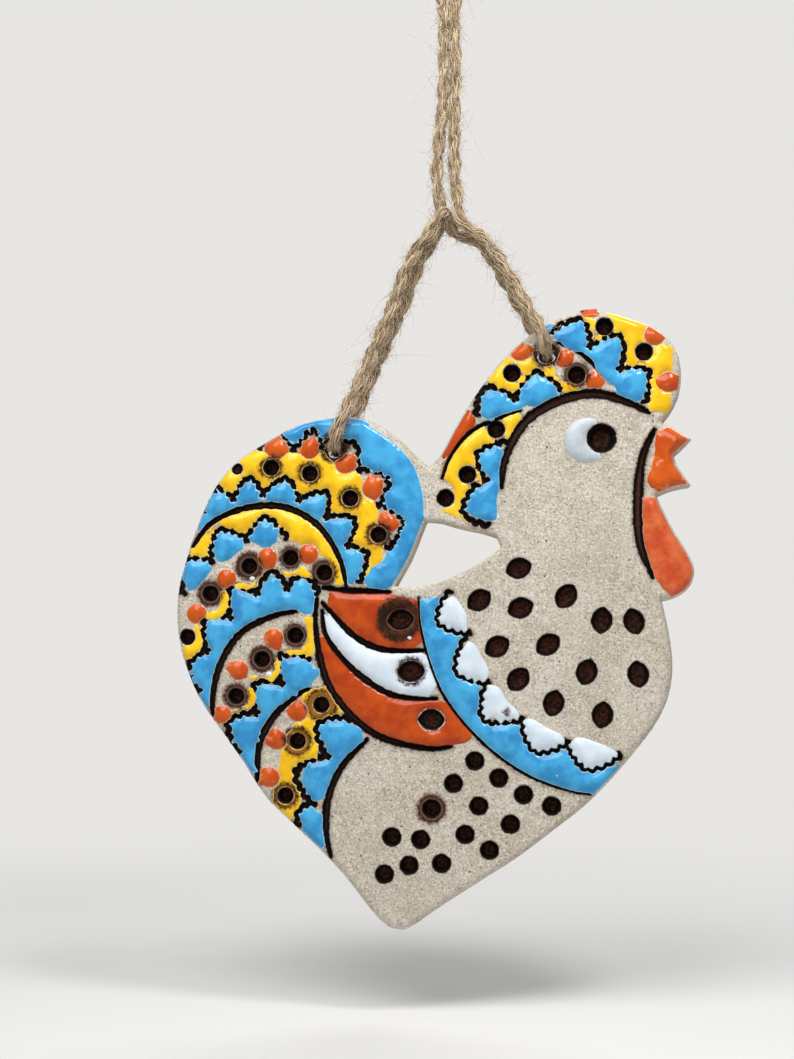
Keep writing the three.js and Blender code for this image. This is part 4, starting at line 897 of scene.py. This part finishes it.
def traced(loop, clearance):
    """A loop that also follows the scallops of a stamped line between two of its points that touch it."""
    number, way = nearest(LINE_TREE, loop)
    touching = np.abs(way - LINE_HALVES[number] - clearance) < TOUCHING
    points = []
    for i, point in enumerate(loop):
        points.append(point)
        j = (i + 1) % len(loop)
        first, last = number[i], number[j]
        if not (touching[i] and touching[j] and TRACED_RUN[0] < abs(last - first) < TRACED_RUN[1]):
            continue
        between = np.arange(first, last, 2 if last > first else -2)[1:]
        line, across = LINE_POINTS[between], rightward(LINE_ALONG[between])
        middle = (point + loop[j]) / 2
        side = np.sign(np.sum(across * (middle - line)))
        found = line + side * across * (LINE_HALVES[between] + clearance)[:, None]
        beside, gap = nearest(LINE_TREE, found)
        open_way = gap - LINE_HALVES[beside] > clearance - 0.5 * CROSSING
        for share in TRACED_SHARES:
            open_way &= nearest(LINE_TREE, middle + share * (found - middle))[1] > LINE_ROOM
        points.extend(found[open_way])
    return np.array(points)


def pool_edge(loop, pull, clearance, turned=1, beads=None):
    """The edge of a pool, drawn to the stamped lines, beads and pits beside it, and let out over
    the rim."""
    loop = softened(spaced(loop, POOL_EDGE_STEP, True), 3)
    loop = drawn(loop, turned, LINE_TREE, LINE_POINTS, LINE_HALVES, pull, clearance)
    loop = traced(loop, clearance)
    for _ in range(3):
        middle = mid_neighbours(loop)
        spike = np.linalg.norm(loop - middle, axis=1) > SPIKE
        loop = np.where(spike[:, None], middle, loop)
    if beads is not None:
        loop = drawn(loop, turned, tree_of(beads), beads, np.zeros(len(beads)), 0.6 * pull, BEAD_CLEARANCE)
    for middle, axis, across, long, wide, *_ in PITS:
        u, v = (loop - middle) @ axis, (loop - middle) @ across
        reach = np.hypot(u / (long + PIT_CLEARANCE), v / (wide + PIT_CLEARANCE))
        near = (reach < PIT_REACH[1 if beads is None else 2]) & (reach > PIT_REACH[0])
        loop[near] = middle + (loop[near] - middle) / reach[near][:, None]
    number, way = nearest(EDGE_TREE, loop)
    outside = (way < RIM_REACH) & (number < len(SILHOUETTE) + len(OPENING)) & (way > ON_RIM)
    toward = (EDGE_POINTS[number] - loop) / np.maximum(way, ON_RIM)[:, None]
    loop[outside] += toward[outside] * np.minimum(RIM_OVERLAP, way[outside] - RIM_KEPT)[:, None]
    loop = spaced(loop, POOL_EDGE_STEP, True)
    rough = 0.05 * wobble(loop, 0.5, 7.0)
    across = rightward(along_loop(loop))
    return softened(loop, 1) + across * rough[:, None]


def ridge_rise(points):
    """How far the beak and the wattle swell towards the ridges along them."""
    rise = np.zeros(len(points))
    for ridge, height, width in RIDGES:
        way = nearest(tree_of(curve(ridge, 0.3)), points)[1]
        rise += height * np.exp(-(way / width) ** 2)
    return rise


def make_pool(name, colour, edges, thickness, rounding, seed, fleck=False):
    """A pool of glaze inside the first edge and round the others, domed towards its middle.
    A fleck is a speck on top, without stains."""
    outline = edges[0]
    inner = honeycomb(outline.min(axis=0), outline.max(axis=0), POOL_STEP, seed)
    bound = tree_of(np.concatenate(edges))
    inner = inner[nearest(bound, inner)[1] > 0.5 * POOL_STEP]
    inner = inner[inside(outline, inner)]
    for hole in edges[1:]:
        inner = inner[~inside(hole, inner)]
    ring = []
    for loop in edges:
        across = rightward(along_loop(loop))[::2]
        ring.append(loop[::2] + (-1 if loop is outline else 1) * across * EDGE_RING)
    ring = np.concatenate(ring)
    ring = ring[inside(outline, ring)]
    ring = ring[nearest(bound, ring)[1] > 0.7 * EDGE_RING]
    face, faces = filled(edges, np.concatenate([inner, ring]))
    inset = nearest(bound, face)[1]
    inset[inset < ON_LINE] = 0
    share = np.clip(inset / rounding, 0, 1)
    dome = evened(thickness * (1 - (1 - share) ** 2), faces, inset == 0, 0 if fleck else EVENING)
    ground = FRONT + rim_drop(face) + warp(face)
    swell = (POOL_WAVE * wobble(face, 4.0, 11.0 + seed) + ridge_rise(face)) * share
    made = closed_mesh(name, face, ground - dome - swell, ground + POOL_SINK, faces)
    set_values(made, "inset", np.tile(np.minimum(inset, 2.0), 2))
    set_values(made, "stain", np.tile(np.full(len(face), FAR_OUT) if fleck else halo_field(face), 2))
    dress(made, GLAZE_LOOKS[colour])
    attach(made, "rooster")
    return made


def node_colour(node):
    if "_dot_" in node or "_accent_" in node or "beak" in node:
        return "bead"
    return "eye" if "eye" in node else next(colour for colour in GLAZES if colour in node)


def make_glaze():
    nodes = sorted(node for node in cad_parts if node.startswith("glaze_"))
    loops = {node: level_loops(node, FRONT, True) for node in nodes}
    edges = {}
    for node in nodes:
        if "_dot_" in node or "_accent_" in node:
            middle = loops[node][0].mean(axis=0)
            grown = middle + (loops[node][0] - middle) * BEAD_GROWTH
            edges[node] = [pool_edge(grown, BEAD_PULL, BEAD_CLEARANCE)]
    beads = np.concatenate([edge for edge, in edges.values()])
    for seed, node in enumerate(nodes):
        thickness, rounding = BEAD_THICKNESS, BEAD_ROUND
        if node not in edges:
            thickness, rounding = POOL_THICKNESS, POOL_ROUND
            for x, z, radius, _ in RIM_PITS:
                if inside(loops[node][0], np.array([[x, z]]))[0]:
                    loops[node].append(circle((x, z), radius))
            pull = LOBE_PULL if "collar_white" in node else POOL_PULL
            edges[node] = [
                pool_edge(loop, pull, EDGE_CLEARANCE, -1 if i else 1, beads)
                for i, loop in enumerate(loops[node])]
        name = node.replace("glaze_", "pool_")
        made = make_pool(name, node_colour(node), edges[node], thickness, rounding, 100 + seed)
        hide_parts(node)
    for seed, (name, colour, points) in enumerate(SMALL_POOLS):
        edge = pool_edge(counterclockwise(curve(points, 0.3, True)), STRIP_PULL, EDGE_CLEARANCE)
        sizes = (BEAD_THICKNESS, BEAD_ROUND) if colour == "bead" else (STRIP_THICKNESS, STRIP_ROUND)
        make_pool(f"pool_{name}", colour, [edge], *sizes, 200 + seed)
    for seed, (x, z, radius, height) in enumerate(WHITE_FLECKS):
        edge = circle((x, z), radius, 0.8)
        make_pool(f"pool_fleck_{seed + 1}", "white", [edge], height, radius, 300 + seed, True)


# Twine


def twine_frames():
    """The middle line of the loop of twine in the drawing, x, y and z, and two directions across it."""
    line = curve([(x, y, z) for x, z, y in TWINE], TWINE_STEP, True)
    along = unit(along_loop(line))
    side = np.cross(along[0], (0.0, 1.0, 0.0))
    sides = []
    for direction in along:
        side = side - direction * (side @ direction)
        side = side / np.linalg.norm(side)
        sides.append(side)
    sides = np.array(sides)
    return line, along, sides, np.cross(along, sides)


def tube(path, radius, sides):
    """Points and faces of a closed tube along a path."""
    along = unit(np.gradient(path, axis=0))
    lean = np.where(np.abs(along[:, [1]]) > 0.8, (1.0, 0, 0), (0, 1.0, 0))
    u = unit(np.cross(along, lean))
    v = np.cross(along, u)
    turn = np.linspace(0, 2 * math.pi, sides, endpoint=False)
    radius = np.broadcast_to(radius, len(path))
    ring = np.cos(turn)[None, :, None] * u[:, None] + np.sin(turn)[None, :, None] * v[:, None]
    points = (path[:, None] + radius[:, None, None] * ring).reshape(-1, 3)
    faces = []
    for i in range(len(path) - 1):
        for k in range(sides):
            a, b = i * sides + k, i * sides + (k + 1) % sides
            faces.append((a, b, b + sides, a + sides))
    last = (len(path) - 1) * sides
    faces.append(tuple(range(sides))[::-1])
    faces.append(tuple(last + k for k in range(sides)))
    return points, faces


def joined_tubes(name, tubes, tones):
    """One mesh of several tubes, each with its own tone."""
    points, faces, values, start = [], [], [], 0
    for (some, sides), tone in zip(tubes, tones):
        points.append(some)
        faces += [tuple(i + start for i in f) for f in sides]
        values.append(np.full(len(some), tone))
        start += len(some)
    made = mesh_object(name, np.concatenate(points), faces)
    set_values(made, "tone", np.concatenate(values))
    return made


def make_twine(material):
    def wander(size, ply, yarn):
        return np.array([noise.noise((w / size, ply, yarn)) for w in way])

    def round_about(turn):
        return np.cos(turn)[:, None] * u + np.sin(turn)[:, None] * v

    line, along, u, v = twine_frames()
    count = len(line)
    step = np.linalg.norm(np.roll(line, -1, axis=0) - line, axis=1)
    way = np.concatenate([[0], np.cumsum(step)[:-1]])
    length = step.sum()
    chance = random.Random(5)
    ply_turns = round(length / PLY_PITCH)
    yarn_turns = round(length / YARN_PITCH)
    yarns = []
    for ply in range(PLIES):
        turn = 2 * math.pi * (ply_turns * way / length + ply / PLIES)
        centre = line + PLY_OFFSET * round_about(turn)
        for yarn in range(YARNS):
            spin = 2 * math.pi * (yarn_turns * way / length + yarn / YARNS)
            spin = spin + 0.9 * wander(2.5, ply * 7.1, yarn * 3.3)
            out = YARN_OFFSET * (0.95 + 0.55 * wander(1.7, ply * 5.7 + 40, yarn * 2.9))
            radius = YARN_RADIUS * (1 + 0.3 * wander(1.2, ply * 3.1 + 80, yarn * 4.7))
            yarns.append((centre + out[:, None] * round_about(spin), radius, chance.random()))
        yarns.append((centre, np.full(count, CORE_RADIUS), CORE_TONE))

    def cut(x, z, y):
        return int(np.argmin(np.linalg.norm(line - (x, y, z), axis=1)))

    top_left, left_rear = cut(8.6, 163, 0), cut(-3.2, 114, 1.8)
    left_front, right_rear = cut(-4.5, 114, -2.2), cut(20.8, 126.8, 1.6)
    right_front, top_right = cut(23, 124.8, -2.8), cut(11, 163, 0)
    strand = ("hanger", "sling", place(9.7, 162), place(9.7, 144))
    pieces = [
        ("twine_top", top_right, top_left + count, "twine_bight",
         ("bight", "hanger", place(9.9, 187), place(9.9, 172))),
        ("twine_left_side", top_left, left_rear, "twine_strand_left", strand),
        ("twine_left_low", left_rear, left_front, "twine_leg_left",
         ("sling", "rooster", place(-5, 110), place(-10.6, 98.6))),
        ("twine_crossing", left_front, right_rear, "twine_hitch", None),
        ("twine_right_low", right_rear, right_front, "twine_leg_right",
         ("sling", "rooster", place(22.6, 122), place(27.3, 115.6))),
        ("twine_right_side", right_front, top_right, "twine_strand_right", strand),
    ]
    for name, first, last, node, bend in pieces:
        part = np.arange(first, last + 1) % count
        tubes = [tube(path[part], radius[part], 5) for path, radius, _ in yarns]
        made = joined_tubes(name, tubes, [tone for *_, tone in yarns])
        hairs = make_hairs(f"{name}_fuzz", line[part], along[part], u[part], v[part], chance)
        for piece in (made, hairs):
            dress(piece, material)
            if bend:
                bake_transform(piece)
            else:
                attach(piece, "sling")
        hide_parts(node)


def make_hairs(name, line, along, u, v, chance):
    """Stray fibres that stand out from a stretch of twine."""
    tubes, tones = [], []
    for _ in range(int(len(line) * TWINE_STEP * HAIRS_PER_MM)):
        i = chance.randrange(2, len(line) - 2)
        turn = chance.uniform(0, 2 * math.pi)
        out = math.cos(turn) * u[i] + math.sin(turn) * v[i]
        kind = chance.random()
        length = chance.uniform(*(HAIR_SHORT if kind < HAIR_KINDS[0] else HAIR_LONG))
        if kind > HAIR_KINDS[1]:
            length = chance.uniform(*HAIR_STRAY)
        ahead = along[i] * chance.choice((-1, 1)) * chance.uniform(0.5, 1.8)
        heading = out * chance.uniform(0.35, 1.1) + ahead
        heading /= np.linalg.norm(heading)
        bend, curl = (
            np.array([chance.gauss(0, 1) for _ in range(3)]) * chance.uniform(*amount)
            for amount in (HAIR_BEND, HAIR_CURL))
        turns = chance.uniform(3, 9)
        start = line[i] + out * HAIR_START
        steps = max(6, round(length / HAIR_STEP))
        share = np.linspace(0, 1, steps)[:, None]
        path = start + length * (heading * share + bend * share ** 2 + curl * np.sin(turns * share))
        path[:, 2] -= 0.02 * length ** 1.3 * share[:, 0] ** 2
        tubes.append(tube(path, np.linspace(HAIR_ROOT, HAIR_TIP, steps), 3))
        tones.append(chance.uniform(0.4, 1.0))
    return joined_tubes(name, tubes, tones)


# Stage


def aimed(name, data, where, ahead):
    """A camera or lamp at a place, looking ahead."""
    made = added(name, data)
    made.location = where
    made.rotation_mode = "QUATERNION"
    made.rotation_quaternion = ahead.to_track_quat("-Z", "Y")
    return made


def make_camera():
    azimuth, elevation = math.radians(VIEW_AZIMUTH), math.radians(VIEW_ELEVATION)
    back = Vector((math.sin(azimuth) * math.cos(elevation), -math.cos(azimuth) * math.cos(elevation),
                   math.sin(elevation)))
    data = bpy.data.cameras.new("camera")
    data.lens, data.sensor_width = VIEW_LENS, 36.0
    data.clip_start, data.clip_end = 0.005, 100.0
    where = place(*VIEW_TARGET) + back * VIEW_DISTANCE / 1000
    bpy.context.scene.camera = aimed("camera", data, where, -back)


def make_light(name, where, size, watts):
    lamp = bpy.data.lights.new(name, "AREA")
    lamp.shape, lamp.size, lamp.energy = "DISK", size / 1000, watts
    aimed(name, lamp, place(*where), place(*LAMPS_AIM) - place(*where))


def make_stage():
    scene = bpy.context.scene
    scene.view_settings.view_transform = "Standard"
    world = bpy.data.worlds.new("pale_studio")
    world.use_nodes = True
    scene.world = world
    tree = Nodes(world.node_tree)
    light, seen = tree.nodes["Background"], tree.node("Background", 0, {"Color": PALE})
    tree.put(WORLD_LIGHT, light.inputs["Color"])
    tree.put(WORLD_STRENGTH, light.inputs["Strength"])
    tree.show(tree.seen_rays(), light.outputs[0], seen, "World Output")
    for lamp in LAMPS:
        make_light(*lamp)
    look = Look("pale_floor")
    material = look.surface(Base_Color=look.mix(look.noise(60.0), *FLOOR_TONES), Roughness=0.9)
    way = look.node("VectorMath", "Value", {0: look.place}, operation="LENGTH")
    far = look.math("MULTIPLY", look.grade(way, *FLOOR_FADE), look.seen_rays())
    glow = look.node("Emission", 0, {"Color": PALE})
    look.show(far, look.shader.outputs[0], glow, "Material Output")
    bpy.ops.mesh.primitive_plane_add(size=FLOOR_SIZE, location=place(0, -FLOOR_DROP, 0))
    floor = bpy.context.active_object
    floor.name = "floor"
    floor.data.materials.append(material)


make_camera()
make_twine(jute_look())
GLAZE_LOOKS = {name: glaze_look(name) for name in GLAZES}
make_clay(clay_look())
make_glaze()
make_stage()
